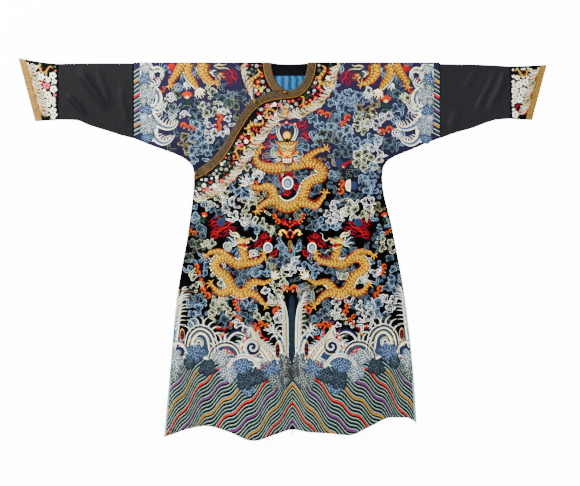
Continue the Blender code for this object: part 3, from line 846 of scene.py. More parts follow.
# %% The lower sleeves and the cuffs
for side, table in SLEEVES.items():
    sign = SIGN[side]
    out = np.linspace(table[0].out, table[-1].out, 96)
    top, low = read(table, "out", "top", out), read(table, "out", "low", out)
    lift = lambda x, below: ridges(x, below, SLEEVE_CREASES)
    rings = in_order(flat_tube(lambda share: sign * out[:, None] + 0 * share, top, low, SLEEVE_HEIGHT, lift))
    cloth_piece(
        f"cloth_sleeve_{side}", rings, ribbed, CLOTH, [f"sleeve_{side}"], True,
    )
    cuff = CUFFS[side]
    flat = lambda x, below: 0 * x
    rings = in_order(flat_tube(
        *cuff_sections(side, np.zeros(2), trim_start(side, SEAM), 24), SLEEVE_HEIGHT, flat,
    ))
    made = cloth_piece(f"cloth_cuff_{side}", rings, black_silk, CLOTH, [f"cuff_{side}"], True)
    cuff.end_top - cuff.seam
    rings = in_order(flat_tube(
        *cuff_sections(side, trim_start(side), np.ones(2), 8), SLEEVE_HEIGHT + 0.0008, flat,
    ))
    made = cloth_piece(
        f"cloth_cuff_trim_{side}", rings, brocade, CLOTH, [f"cuff_trim_{side}"], True,
    )
    print(side, "tube areas:", round(round_area(rings), 3), "m2 in the last of them")
print("sleeves and cuffs are on")

# %% Collar bands, trims, facing, lining and slit edgings
clear = np.array([0.0, 2 * SEAM])
trim_end, band_end = (TRIM_WIDTH, TRIM_DROP), (RING_REACH, RING_DROP)
band_start = (TRIM_WIDTH + SEAM, TRIM_DROP + SEAM)
neck_edge = np.concatenate([neck_line(0.4, 88, 50, 0, 0), overlap_line("edge", 131)])
trim_edge = np.concatenate([neck_line(0.3, 88, 50, *trim_end), overlap_line("trim", 131)])
band_edge = np.concatenate([neck_line(0.2, 88, 50, *band_end), overlap_line("band", 131)])
band_inner = np.concatenate([neck_line(0.3, 88, 50, *band_start), overlap_line("trim", 131) + clear])
right_edge, right_trim_edge = neck_line(100, 179.6, 44, 0, 0), neck_line(127, 179.7, 44, *trim_end)
right_band_inner = neck_line(129, 179.7, 44, *band_start)
right_band_edge = neck_line(138, 179.8, 44, *band_end)
STRIPS = (
    ("front_trim", neck_edge, trim_edge, 7, front_top, TRIM_CLOTH, brocade, "brocade"),
    ("collar_band", band_inner, band_edge, 20, front_top, BAND_CLOTH, black_silk, "black_satin"),
    ("neck_trim_right", right_edge, right_trim_edge, 7, right_top, TRIM_CLOTH, brocade, "brocade"),
    (
        "collar_band_right", right_band_inner, right_band_edge, 20, right_top, BAND_CLOTH, black_silk,
        "black_satin",
    ),
)
for name, near, far, columns, top_of, cloth, finish, slot in STRIPS:
    points = strip_points(near, far, columns, top_of, REST + cloth)
    made = cloth_piece("cloth_" + name, points, finish, cloth, [name])
    print(name, "cut", [round(v, 3) for v in cut_size(points)])


def lining_waves(x, below):
    """The gathers of the lining: uneven ridges that run down from the facing and die out under the
    front."""
    inside = 1 - (x / (NECK_HALF - 0.008)) ** 2 - (below / (NECK_DROP - 0.008)) ** 2
    waves = 1 + np.sin(x * 2 * math.pi / 0.026 + 0.6 + 14 * below) * 0.7 + np.sin(x * 610 - 20 * below) * 0.3
    return LINING_TOP + 0.0010 * waves * ease(inside / 0.3) * ease((below - 0.050) / 0.010)


FACING_END, LINING_START, LINING_END, LINING_HALF = 0.05029, 0.0503, 0.150, 0.105
for name, first, last, rows, finish, slot in (
    ("back_neck_facing", BACK_NECK_DROP + 0.002, FACING_END, 12, black_silk, "black_satin"),
    ("neck_lining", LINING_START, LINING_END, 50, lining_silk, "lining"),
):
    x = np.linspace(-LINING_HALF, LINING_HALF, 160)
    below = np.linspace(last, first, rows)[:, None] + 0 * x
    points = facing_up(to_frame(x + 0 * below, below, lining_waves(x + 0 * below, below)))
    made = cloth_piece("cloth_" + name, points, finish, LINING_CLOTH, [name])
    gathered = 1.25 if name == "neck_lining" else 1.0
    0.21 * gathered

for side in ("right", "left"):
    below = np.linspace(SLIT_TOP, float(read(HEM, "share", "below", SIGN[side])), 90)
    out = (half_width(below, side) * SIGN[side])[:, None]
    inset = np.linspace(0.0, EDGING_WIDTH, 4) * -SIGN[side]
    x, rows = out + inset, below[:, None] + 0 * inset
    points = facing_up(to_frame(x, rows, front_top(x, rows) + REST + EDGING_CLOTH))
    made = cloth_piece(
        f"cloth_slit_edging_{side}", points, pale_silk, EDGING_CLOTH, [f"slit_edging_{side}"],
    )
print("collar, lining and edgings are on")

# %% [markdown]
# ## Buttons, loops and piping
#
# Five ball buttons hold the overlap. Each ball stands on a short stem, and a cord sewn down as a hairpin
# goes round the stem. A yellow cord is piped along the outer edge of every brocade trim.

# %% Round cords
Fastening = namedtuple("Fastening", "name across below turn reach on")
TRIM_TOP = OUTER_TOP + REST + TRIM_CLOTH
FASTENINGS = (
    Fastening("neck", -0.0170, 0.1120, -160, 0.026, TRIM_TOP),
    Fastening("collar_bone", -0.1290, 0.1480, -62, 0.034, TRIM_TOP),
    Fastening("underarm", -0.3490, 0.4140, -4, 0.048, TRIM_TOP),
    Fastening("side_upper", -0.3720, 0.6400, -6, 0.058, OUTER_TOP),
    Fastening("side_lower", -0.4080, 0.8460, -6, 0.058, OUTER_TOP + 0.0020),
)
BALL_RADIUS, STEM_RADIUS, PIPING_RADIUS = 0.0050, 0.0013, 0.0011
CORD_WIDTH, CORD_GAP, CORD_CLOTH = 0.0032, 0.0006, 0.0015
BALL_SIDES, CORD_SIDES = 28, 8


def cord_rings(path, wide, tall):
    """Rings of points round a path, for a round or flattened cord; they shrink to a point at both ends."""
    ahead = np.gradient(path, axis=0)
    ahead /= np.linalg.norm(ahead, axis=1, keepdims=True)
    aside = np.cross(ahead, [0.0, 0.0, 1.0])
    aside /= np.linalg.norm(aside, axis=1, keepdims=True)
    up = np.cross(aside, ahead)
    turn = np.linspace(0, 2 * math.pi, CORD_SIDES, endpoint=False)
    size = np.ones(len(path))
    size[[0, -1]], size[[1, -2]] = 0.12, 0.8
    ring = aside[:, None] * (np.cos(turn) * wide)[:, None] + up[:, None] * (np.sin(turn) * tall)[:, None]
    return path[:, None] + ring * size[:, None, None]


def cord_piece(name, path, wide, tall, finish, nodes=()):
    """A cord along a path in the frame, closed at both ends."""
    rings = cord_rings(path, wide, tall)
    n, k = rings.shape[:2]
    ends = np.stack([path[0], path[-1]])
    faces = triangles(grid_faces(n, k, closed=True))
    caps = [
        (np.roll(np.arange(k), -1), np.arange(k), n * k),
        ((n - 1) * k + np.arange(k), (n - 1) * k + np.roll(np.arange(k), -1), n * k + 1),
    ]
    caps = [np.stack(np.broadcast_arrays(*cap), axis=-1) for cap in caps]
    obj = new_piece(
        name, np.concatenate([rings.reshape(-1, 3), ends]), np.concatenate([faces, *caps]), finish,
    )
    if nodes:
        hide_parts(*nodes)
    return obj


# %% The five fastenings, the strap and the piping
def ball_points(across, below, bottom):
    """A ball on its stem, spun round: a shallow groove circles the ball at its widest."""
    ball = bottom + CORD_CLOTH + SEAM + BALL_RADIUS
    bend = np.linspace(math.asin(STEM_RADIUS / BALL_RADIUS), math.pi - 0.02, 22)
    groove = 1 - 0.03 * np.exp(-(((bend - math.pi / 2) / 0.12) ** 2))
    radii = np.concatenate([[0.0004, STEM_RADIUS], BALL_RADIUS * np.sin(bend) * groove])
    heights = np.concatenate([[bottom, bottom], ball - BALL_RADIUS * np.cos(bend)])
    turn = np.linspace(0, 2 * math.pi, BALL_SIDES, endpoint=False)
    x = across + radii[:, None] * np.cos(turn)
    y = below - radii[:, None] * np.sin(turn)
    return to_frame(x, y, heights[:, None] + 0 * turn)


for row in FASTENINGS:
    ahead = np.array([math.cos(math.radians(row.turn)), -math.sin(math.radians(row.turn))])
    aside, centre = np.array([-ahead[1], ahead[0]]), np.array([row.across, row.below])
    gap, radius = (CORD_WIDTH + CORD_GAP) / 2, STEM_RADIUS + 0.0007 + CORD_WIDTH / 2
    lean = math.asin(gap / radius)
    turns = np.linspace(lean, 2 * math.pi - lean, 25)[:, None]
    loop = centre + radius * (np.cos(turns) * ahead + np.sin(turns) * aside)
    legs = np.linspace(row.reach, radius * 1.6, 12)[:, None]
    path = np.concatenate([
        centre + legs * ahead + gap * aside, loop, centre + legs[::-1] * ahead - gap * aside
    ])
    path = to_frame(path[:, 0], path[:, 1], np.full(len(path), row.on + REST + CORD_CLOTH / 2))
    cord_piece(
        f"cord_{row.name}", path, CORD_WIDTH / 2, CORD_CLOTH / 2, brocade, [f"loop_{row.name}"],
    )
    points = ball_points(row.across, row.below, row.on + REST)
    rings, sides = points.shape[:2]
    ends = np.stack([points[0].mean(axis=0), points[-1].mean(axis=0)])
    step = np.arange(sides)
    low_cap = np.stack([np.roll(step, -1), step, np.full(sides, rings * sides)], axis=-1)
    high_cap = np.stack([step, np.roll(step, -1), np.full(sides, rings * sides + 1)], axis=-1)
    high_cap[:, :2] += (rings - 1) * sides
    faces = np.concatenate([triangles(grid_faces(rings, sides, closed=True)), low_cap, high_cap])
    ball = new_piece(f"ball_{row.name}", np.concatenate([points.reshape(-1, 3), ends]), faces, gilt)
    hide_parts(f"button_{row.name}")

STRAP_FROM, STRAP_TO, STRAP_HALF = (-0.1330, 0.0900), (-0.1320, 0.1370), 0.0035
strap = np.linspace(STRAP_FROM, STRAP_TO, 30)
band_top = lambda x, below: right_top(x, below) + BAND_CLOTH + REST
points = strip_points(strap - [STRAP_HALF, 0], strap + [STRAP_HALF, 0], 7, band_top, REST + CORD_CLOTH)
made = cloth_piece("cloth_strap_collar_bone", points, brocade, CORD_CLOTH, ["strap_collar_bone"])


def piping_line(name, line, top_of, rise):
    """A thin round cord along a line on the cloth."""
    line = along_lines(line, 2 * len(line))
    path = to_frame(line[:, 0], line[:, 1], top_of(line[:, 0], line[:, 1]) + rise)
    cord_piece(name, path, PIPING_RADIUS, PIPING_RADIUS, piping)


piping_line("piping_front", trim_edge, front_top, REST + TRIM_CLOTH)
piping_line("piping_right", right_trim_edge, right_top, REST + TRIM_CLOTH)
for side in SLEEVES:
    line = cuff_line(side, trim_start(side), np.linspace(0.02, 0.98, 40))
    piping_line(f"piping_cuff_{side}", line, lambda x, below: 0 * x + SLEEVE_HEIGHT + 0.0008, 0.0002)
print("fastenings and piping are on")

# %% [markdown]
# ## Drawing embroidery
#
# Embroidery is drawn flat, in steps, and then laid on the cloth. Everything is made of three small shapes:
# a ribbon (satin stitch along a line), a patch (stitch that fills an outline) and a disc. Each is slightly
# domed and its rim sinks under the cloth's face, so it reads as raised thread from any side. A drawing can
# be moved, turned, scaled and mirrored as a whole, which is how one half of the water makes both.

# %% Flat drawings: ribbons and patches
Drawing = namedtuple("Drawing", "points rise colour thread faces")
SINK = -0.35


def merged(drawings):
    """Several drawings as one."""
    start = np.cumsum([0] + [len(d.points) for d in drawings])
    faces = [d.faces + n for d, n in zip(drawings, start)]
    return Drawing(*[np.concatenate([d[i] for d in drawings]) for i in range(4)], np.concatenate(faces))


def spread(values, count):
    """A few values, spaced evenly, read at count places."""
    values = np.asarray(values, float)
    at = np.linspace(0, len(values) - 1, count)
    return np.interp(at, np.arange(len(values)), values)


def ribbon(path, half, section, count=None, level=0.0):
    """Satin stitch along a path. section lists (place across from -1 to 1, rise in mm, colour), and half is
    the half width along the path. The surface is path + half * place * normal."""
    path = along_lines(path, count or 3 * len(path))
    n = len(path)
    half = spread(np.atleast_1d(half), n)
    ahead = np.gradient(path, axis=0)
    ahead /= np.linalg.norm(ahead, axis=1, keepdims=True) + 1e-9
    normal = np.stack([ahead[:, 1], -ahead[:, 0]], axis=-1)
    place, rise = np.array([row[0] for row in section]), np.array([row[1] for row in section])
    colour = np.array([row[2] for row in section])
    points = path[:, None] + (half[:, None] * place)[..., None] * normal[:, None]
    run = np.concatenate([[0], np.cumsum(np.linalg.norm(np.diff(path, axis=0), axis=1))])
    thread = np.stack(np.broadcast_arrays(run[:, None], half[:, None] * place), axis=-1)
    fade = np.minimum(1.0, half / (0.35 * half.max() + 1e-9))
    height = np.where(rise > 0, rise * fade[:, None] + level, SINK)
    height[[0, -1]] = SINK
    k = len(section)
    faces = triangles(grid_faces(n, k))[:, ::-1]
    flat = (
        points.reshape(-1, 2), height.ravel(), np.tile(colour, (n, 1)), thread.reshape(-1, 2) / STEPS, faces,
    )
    return Drawing(*flat)


def patch(outline, rings, centre=None, level=0.0):
    """Filling stitch inside an outline that can be seen whole from its centre. rings lists (scale, rise in
    mm, colour) from the rim inwards, and the last ring closes on the centre."""
    outline = np.asarray(outline, float)
    centre = outline.mean(axis=0) if centre is None else np.asarray(centre, float)
    n, k = len(outline), len(rings)
    scale = np.array([row[0] for row in rings])
    points = centre + scale[:, None, None] * (outline - centre)
    height = np.repeat([row[1] + level if row[1] > 0 else SINK for row in rings], n)
    colour = np.repeat(np.array([row[2] for row in rings]), n, axis=0)
    points = np.concatenate([points.reshape(-1, 2), centre[None]])
    height, colour = np.append(height, height[-1]), np.concatenate([colour, colour[-1:]])
    last = (k - 1) * n + np.arange(n)
    fan = np.stack([last, np.roll(last, -1), np.full(n, n * k)], axis=-1)
    faces = np.concatenate([triangles(grid_faces(k, n, closed=True)), fan])
    area = np.sum(outline[:, 0] * np.roll(outline[:, 1], -1) - outline[:, 1] * np.roll(outline[:, 0], -1))
    if area > 0:
        faces = faces[:, ::-1]
    return Drawing(points, height, colour, points / STEPS, faces)


# %% Discs and spirals, and how a drawing is placed
def rounded(corners, count):
    """A smooth closed outline of count points through a few corners."""
    return along_lines(corners + corners[:1], count + 1)[:-1]


def disc(centre, radius, rings, sides=12, tall=1.0, turn=0.0, level=0.0):
    """A round or oval patch."""
    angle = np.linspace(0, 2 * math.pi, sides, endpoint=False)
    x, y = radius * np.cos(angle), radius * tall * np.sin(angle)
    c, s = math.cos(turn), math.sin(turn)
    return patch(
        np.stack([centre[0] + x * c - y * s, centre[1] + x * s + y * c], axis=-1), rings, centre, level,
    )


def toward(angle):
    """A step of one in a direction, given in radians."""
    return np.array([math.cos(angle), math.sin(angle)])


def spiral(centre, outer, inner, turns, start, count):
    """Points on a spiral that winds inwards from a start angle."""
    t = np.linspace(0, 1, count)
    radius, angle = outer + (inner - outer) * t, start + 2 * math.pi * turns * t
    return np.stack([centre[0] + radius * np.cos(angle), centre[1] + radius * np.sin(angle)], axis=-1)


def placed(drawing, at=(0, 0), turn=0.0, size=1.0, flip=False, level=0.0, shade=1.0):
    """A drawing moved, turned (degrees), scaled and mirrored."""
    p = drawing.points * [-1, 1] if flip else drawing.points
    c, s = math.cos(math.radians(turn)) * size, math.sin(math.radians(turn)) * size
    p = np.stack([p[:, 0] * c - p[:, 1] * s, p[:, 0] * s + p[:, 1] * c], axis=-1) + at
    faces = drawing.faces[:, ::-1] if flip else drawing.faces
    rise = np.where(drawing.rise > 0, drawing.rise + level, drawing.rise)
    return Drawing(p, rise, drawing.colour * shade, drawing.thread * size, faces)


def mirrored(drawings, at):
    """Drawings of one side as the other side's, moved a little because the robe isn't quite even."""
    return [placed(d, at, flip=True) for d in drawings]


# %% Cross-sections, and laying drawings on the cloth
def thread(colour, edge=None, rise=0.7):
    """The usual cross-section: a round ridge in one colour, or shaded towards its edges."""
    edge = colour if edge is None else edge
    return [
        (-1, -1, edge), (-0.55, rise * 0.75, edge), (0, rise, colour), (0.55, rise * 0.75, edge),
        (1, -1, edge),
    ]


def line(colour, rise=0.6):
    """The plainest cross-section, for a single couched thread."""
    return [(-1, -1, colour), (0, rise, colour), (1, -1, colour)]


def stitched(name, drawings, top_of, finish, base=0.0003):
    """Lay drawings on the cloth as one piece: each point goes to the cloth's height under it, plus its
    rise."""
    whole = merged(drawings)
    x, below = whole.points[:, 0] * STEP, whole.points[:, 1] * STEP
    z = top_of(x, below) + base + whole.rise * 0.001
    obj = new_piece(name, to_frame(x, below, z), whole.faces, finish)
    colours = obj.data.color_attributes.new("silk", "FLOAT_COLOR", "POINT")
    colours.data.foreach_set("color", np.concatenate([whole.colour, np.ones((len(x), 1))], axis=1).ravel())
    add_uv(obj, "thread", whole.thread)
    print(f"{name}: {len(drawings)} motifs, {len(whole.faces)} triangles")
    return obj


# %% Silk colours
GOLD, GOLD_DEEP = paint(192, 152, 78), paint(122, 84, 36)
GOLD_PALE, GOLD_DARK = paint(234, 204, 132), paint(58, 40, 20)
WHITE, CREAM, PALE_BLUE = paint(228, 228, 218), paint(216, 206, 180), paint(150, 178, 198)
SLATE, MID_BLUE, DEEP_BLUE = paint(74, 98, 118), paint(48, 86, 134), paint(22, 38, 76)
GREY_GREEN, SAGE, TAN = paint(104, 122, 108), paint(150, 166, 134), paint(176, 150, 116)
RED, DARK_RED, CORAL, ORANGE = paint(206, 20, 36), paint(126, 12, 30), paint(218, 104, 78), paint(218, 92, 28)
CRIMSON, PINK, LEAF, TEAL = paint(168, 16, 46), paint(220, 150, 150), paint(52, 96, 56), paint(26, 78, 84)
PURPLE, LAVENDER = paint(104, 60, 120), paint(140, 130, 176)
OCHRE, BLACK = paint(200, 152, 62), paint(12, 12, 16)

silk = Finish("embroidery silk", Roughness=0.45, Specular_IOR_Level=0.05)
colour = silk.attribute("silk")
at = silk.place()
strand = silk.uv("thread")
strands = (silk.split(strand, "X") * 5600 + silk.noise(at, 500, 2) * 2).sine() * 0.5 + 0.5
# Painted shade: the colour is darker in the grooves between stitches, on the same wave as the bump; the noise
# gives uneven tone.
silk.set(Base_Color=silk.tint(colour, 0.82 + strands * 0.16 + silk.noise(at, 420, 2) * 0.2))
silk.bump(strands, 0.0003, 0.6)

# %% [markdown]
# ## Clouds
#
# The ground between the figures is filled with clouds. The knots of a cloud stand on a lattice round its
# centre, and each knot is a few round lobes about a middle, stitched as pale and dark lines one inside the
# other. Smaller knots and curls are then thrown at what is left of the ground: each one that misses
# everything already there is kept, and belongs to the nearest centre. All of one cloud takes its colours,
# and two tails trail from it.

# %% One curl, one knot, and a field filled with them
Silks = namedtuple("Silks", "outline fill")
CLOUD_SILKS = (
    Silks(paint(228, 230, 224), paint(90, 108, 122)),
    Silks(paint(176, 194, 206), paint(58, 80, 104)),
    Silks(paint(138, 160, 172), paint(36, 56, 76)),
    Silks(paint(150, 160, 146), paint(42, 54, 54)),
    Silks(paint(190, 182, 158), paint(56, 60, 62)),
    Silks(paint(216, 216, 204), paint(84, 94, 98)),
)
WHITE_CLOUD, BLUE_CLOUD, GREEN_CLOUD, PALE_CLOUD = 0, 1, 3, 5


def curl(x, y, radius, silks, way, start, level=0.0):
    """A round curl: a filled disc with a dark edge, and a pale thread that arches round it and winds in."""
    rings = [(1.0, -1, silks.fill * 0.15), (0.9, 0.3, silks.fill * 1.1), (0.4, 0.4, silks.fill * 0.6)]
    body = disc((x, y), radius * 1.06, rings, 10, level=level)
    path = spiral((x, y), radius * 0.76, radius * 0.18, 1.25 * way, start, 13)
    widths = [radius * 0.14, radius * 0.27, radius * 0.27, radius * 0.22, radius * 0.16]
    return [body, ribbon(path, widths, line(silks.outline, 0.8 + level), 15)]


def cloud_knot(x, y, radius, silks, lobes, start, level=0.0):
    """A cloud's knot: round lobes about a middle, stitched as lobed lines one inside the other."""
    at = start + (np.arange(lobes) + rng.uniform(-0.26, 0.26, lobes)) * 2 * math.pi / lobes
    far, size = rng.uniform(0.40, 0.76, lobes), rng.uniform(0.36, 0.52, lobes)
    angle = np.linspace(0, 2 * math.pi, 30, endpoint=False)
    off = angle[:, None] - at
    room = size**2 - (far * np.sin(off)) ** 2
    reach = np.where(room > 0, far * np.cos(off) + np.sqrt(np.maximum(room, 0)), 0).max(axis=1).clip(0.4)
    outline = reach[:, None] * np.stack([np.cos(angle), np.sin(angle) * rng.uniform(0.66, 1.0)], axis=-1)
    dark, pale, mid = silks.fill * 0.06, silks.outline, silks.outline * 0.32 + silks.fill * 0.25
    rings = [(1.0, -1, dark), (0.93, 0.5, pale), (0.8, 0.55, pale), (0.76, 0.25, dark), (0.64, 0.25, dark)]
    rings += [(0.6, 0.5, mid), (0.46, 0.5, mid), (0.42, 0.25, dark), (0.24, 0.35, silks.fill * 0.5)]
    return placed(
        patch(outline, rings, rng.uniform(-0.13, 0.13, 2), level), (x, y), math.degrees(start), radius * 1.08,
    )


# %% Circles packed into a field
def packed_circles(inside, kept_clear, sizes, box):
    """Circles of falling size thrown at a field. inside says which places belong to it, kept_clear lists
    circles that are already taken, and sizes pairs each radius with a number of tries."""
    kept = np.asarray(kept_clear, float).reshape(-1, 3)
    taken = np.zeros((len(kept) + sum(tries for _, tries in sizes), 3))
    taken[: len(kept)], n = kept, len(kept)
    for radius, tries in sizes:
        at = rng.uniform(box[0], box[1], (tries, 2))
        at = at[inside(at[:, 0], at[:, 1], np.full(tries, radius))]
        for p in at:
            gap = np.hypot(taken[:n, 0] - p[0], taken[:n, 1] - p[1]) - taken[:n, 2]
            if n == 0 or gap.min() > radius * 0.96:
                taken[n] = (*p, radius)
                n += 1
    return taken[len(kept) : n]


def cloud_knots(inside, kept_clear, centres, pitch, radius, gap):
    """Knots on a lattice round each cloud's centre, each lattice turned its own way. A knot is kept if its
    own centre is nearer than any other by the gap, and if it clears the figures. The last column is the
    cloud's number."""
    row, col = np.meshgrid(np.arange(-3, 4), np.arange(-3, 4), indexing="ij")
    lattice = np.stack([(col + 0.5 * (row % 2)).ravel(), (row * 0.87).ravel()], axis=-1) * pitch
    turn = rng.uniform(0, math.pi, len(centres))
    c, s = np.cos(turn)[:, None], np.sin(turn)[:, None]
    x = (
        centres[:, 0:1] + lattice[:, 0] * c - lattice[:, 1] * s
        + rng.normal(0, 0.4, (len(centres), len(lattice)))
    )
    y = (
        centres[:, 1:2] + lattice[:, 0] * s + lattice[:, 1] * c
        + rng.normal(0, 0.4, (len(centres), len(lattice)))
    )
    own = np.repeat(np.arange(len(centres)), len(lattice))
    x, y = x.ravel(), y.ravel()
    away = np.hypot(x[:, None] - centres[:, 0], y[:, None] - centres[:, 1])
    nearest = away.argmin(axis=1)
    two = np.partition(away, 1, axis=1)[:, :2]
    r = radius * rng.uniform(0.82, 1.12, len(x))
    clear = (
        np.hypot(x[:, None] - kept_clear[:, 0], y[:, None] - kept_clear[:, 1])
        - kept_clear[:, 2] > 0.8 * r[:, None]
    ).all(axis=1)
    keep = (nearest == own) & (two[:, 1] - two[:, 0] > gap) & clear & inside(x, y, r)
    return np.stack([x, y, r, own], axis=-1)[keep]


# %% The clouds of a field
def nested(silks):
    """The cross-section of a cloud's tail: a pale line along each edge, and dark between."""
    dark, pale = silks.fill * 0.12, silks.outline
    return [
        (-1, -1, dark), (-0.8, 0.5, pale), (-0.5, 0.45, pale), (-0.3, 0.2, dark), (0.3, 0.2, dark),
        (0.5, 0.45, pale), (0.8, 0.5, pale), (1, -1, dark),
    ]


def linked_clouds(circles, centres, colours):
    """Each cloud's two tails, and its knots and curls in its colours, laid from the outermost inwards."""
    made = []
    for k in np.unique(circles[:, 3].astype(int)):
        mine = circles[circles[:, 3] == k]
        silks, bright = CLOUD_SILKS[colours[k]], rng.uniform(0.84, 1.1)
        away = mine[:, :2] - centres[k]
        far = np.hypot(*away.T)
        across = away @ [-away[far.argmax()][1], away[far.argmax()][0]]
        for x, y, r, _ in mine[[far.argmax(), across.argmax()]]:
            out = np.array([x, y]) - centres[k]
            out = out / (np.linalg.norm(out) + 1e-6) * 7.0
            side = np.array([-out[1], out[0]]) * rng.choice([-0.5, 0.5])
            tail = [
                (x, y), (x, y) + out * 0.5 + side, (x, y) + out * 0.95 - side * 0.2,
                (x, y) + out * 1.3 - side * 0.9,
            ]
            made.append(placed(ribbon(tail, [1.9, 1.7, 1.3, 0.3], nested(silks), 9), shade=bright))
        for i, (x, y, r, _) in enumerate(mine[np.argsort(-far)]):
            shade = bright * rng.uniform(0.84, 1.14)
            if r > 2.7:
                lobes = rng.integers(2, 4) + (r > 3.5)
                knot = cloud_knot(x, y, r, silks, lobes, rng.uniform(0, 6.28), 0.14 * i)
                made.append(placed(knot, shade=shade))
            else:
                start = math.atan2(centres[k][1] - y, centres[k][0] - x) + rng.uniform(-0.5, 0.5)
                way = 1 if i % 2 else -1
                made += [placed(d, shade=shade) for d in curl(x, y, r, silks, way, start, 0.1 * i)]
    return made


def clear_of(path, half, count=40):
    """Circles along a figure, for clouds to keep clear of."""
    path = along_lines(path, count)
    return np.concatenate([path, spread(np.atleast_1d(half), count)[:, None]], axis=1)


print("a curl has", sum(len(d.faces) for d in curl(0, 0, 2, CLOUD_SILKS[0], 1, 0)), "triangles")

# %% [markdown]
# ## Dragons
#
# Each dragon is a long tapering ribbon in couched gold. Rows of overlapping scales lie on it, a pale
# scalloped fin runs down its back, and red silk edges its belly. The legs are shorter ribbons that end in
# five claws. A dragon seen from the front has a square face with horns, brows and whiskers, and the others
# show their heads from the side.

# %% Body, legs and claws
def body_section(spine, belly):
    """The cross-section of a dragon's body, from the pale edge of its back to the red edge of its belly."""
    gold = [(-0.86, 0.8, GOLD), (-0.3, 1.3, GOLD_PALE), (0.3, 1.25, GOLD), (0.86, 0.85, GOLD_DEEP)]
    return [(-1, -1, spine), (-0.92, 0.6, spine), *gold, (0.93, 0.7, belly), (1, -1, belly)]


FINE_POINTS = 400


def read_along(path, half):
    """A path read finely: its points, directions, normals, half widths and the length run so far."""
    points = along_lines(path, FINE_POINTS)
    run = np.concatenate([[0], np.cumsum(np.linalg.norm(np.diff(points, axis=0), axis=1))])
    ahead = np.gradient(points, axis=0)
    ahead /= np.linalg.norm(ahead, axis=1, keepdims=True)
    normal = np.stack([ahead[:, 1], -ahead[:, 0]], axis=-1)
    return points, ahead, normal, spread(half, FINE_POINTS), run


def scale_rows(path, half, rows, pitch, level):
    """Overlapping scales in rows along a body: each is a small gold leaf with a dark rim behind it."""
    points, ahead, normal, width, run = read_along(path, half)
    angle = np.linspace(0, 2 * math.pi, 6, endpoint=False)
    made = []
    for k, place in enumerate(rows):
        i = np.searchsorted(run, np.arange(pitch * (0.5 + 0.5 * (k % 2)), run[-1] - pitch, pitch))
        for n, j in enumerate(i[width[i] > 1.4]):
            middle = points[j] + normal[j] * place * width[j]
            long, wide = 0.58 * pitch, 0.96 * width[j] / len(rows)
            outline = (
                middle + np.outer(np.cos(angle) * long, ahead[j]) + np.outer(np.sin(angle) * wide, normal[j])
            )
            rings = [
                (1.0, 1.1, GOLD_DARK), (0.76, 1.5, GOLD_DARK),
                (0.5, 1.65, GOLD_PALE if (k + n) % 2 else GOLD),
            ]
            made.append(patch(outline, rings, middle + ahead[j] * 0.3, level))
    return made


def fin(path, half, pitch, colour):
    """A scalloped fin: small half-sunk discs along one edge of a body."""
    points, _, normal, width, run = read_along(path, half)
    i = np.searchsorted(run, np.arange(pitch, run[-1] - pitch / 2, pitch))
    edge = points[i] - (width[i, None] - 0.2) * normal[i]
    return [disc(p, pitch * 0.56, [(1.0, -1, colour), (0.7, 0.55, colour)], 7) for p in edge]


def claw():
    """A foot: a pad and five curved talons."""
    made = [disc((0, 0), 1.5, [(1, -1, GOLD_DEEP), (0.7, 1.0, GOLD)], 8)]
    for angle in (-100, -52, -8, 36, 150):
        tip = toward(math.radians(angle))
        side = np.array([-tip[1], tip[0]]) * (1 if angle < 0 else -1)
        path = [tip * 0.6, tip * 2.8 + side * 0.7, tip * 4.6 + side * 0.2, tip * 5.8 - side * 1.0]
        made.append(ribbon(path, [0.8, 0.8, 0.55, 0.1], thread(GOLD_PALE, GOLD, 1.2), 8))
    return merged(made)


def leg(path, half, turn):
    """A leg with its scales, a red inner edge, elbow flames and its claw."""
    made = [ribbon(path, half, body_section(CORAL, RED), 22, 0.35)]
    made += scale_rows(path, np.asarray(half) * 0.95, (-0.5, 0.0, 0.5), 1.75, 0.35)
    made.append(placed(claw(), path[-1], turn, level=0.35))
    elbow = np.asarray(path[len(path) // 2], float)
    for k in range(5):
        a = math.radians(64 + 24 * k)
        tip, bend = elbow + 6.5 * toward(a), elbow + 3.4 * toward(a + 0.4)
        flame = thread((ORANGE, TEAL, SLATE)[k % 3], rise=0.7)
        made.append(ribbon([elbow, bend, tip], [0.9, 0.8, 0.1], flame, 6))
    return made


# %% Hair, flames and the pearl
def tuft(at, turn, count, length, colours, wave=0.9, fan=70, half=0.7):
    """Hair that fans out from a point: long tapering ribbons with a bend in each."""
    made = []
    for k in range(count):
        share = k / max(1, count - 1) - 0.5
        tip = toward(math.radians(turn + fan * share))
        side = np.array([-tip[1], tip[0]]) * wave * (1 if k % 2 else -1)
        size = length * (1 - 0.5 * abs(share))
        path = [(0, 0), tip * size * 0.35 + side, tip * size * 0.7 - side * 0.6, tip * size + side * 0.5]
        widths = half * np.array([1.0, 1.1, 0.7, 0.1])
        made.append(placed(ribbon(path, widths, thread(colours[k % len(colours)]), 9), at))
    return made


def flames(at, turn, wide, long):
    """A sheet of flame: thin wavy tongues side by side, with hooked prongs between them."""
    made = []
    count = max(2, int(wide / 2.9))
    for k in range(count):
        y = wide * ((k + 0.5) / count - 0.5)
        length = long * (1 - 1.1 * ((k + 0.5) / count - 0.5) ** 2) * rng.uniform(0.7, 1.05)
        x = np.linspace(-length / 2, length / 2, 9)
        stem = np.stack([x, y + 0.9 * np.sin(x * 0.9 + k)], axis=-1)
        shade = (CRIMSON, RED, CRIMSON)[k % 3]
        made.append(ribbon(stem, [0.3, 0.7, 0.66, 0.1], line(shade, 0.6), 17))
        for s in (0.2, 0.45, 0.7):
            base = np.array([length * (s - 0.5), y])
            way = 1 if (k + int(s * 5)) % 2 else -1
            path = [base, base + [1.6, way * 1.0], base + [3.4, way * 1.3]]
            made.append(ribbon(path, [0.5, 0.48, 0.06], line(shade, 0.5), 6))
    return placed(merged(made), at, turn)


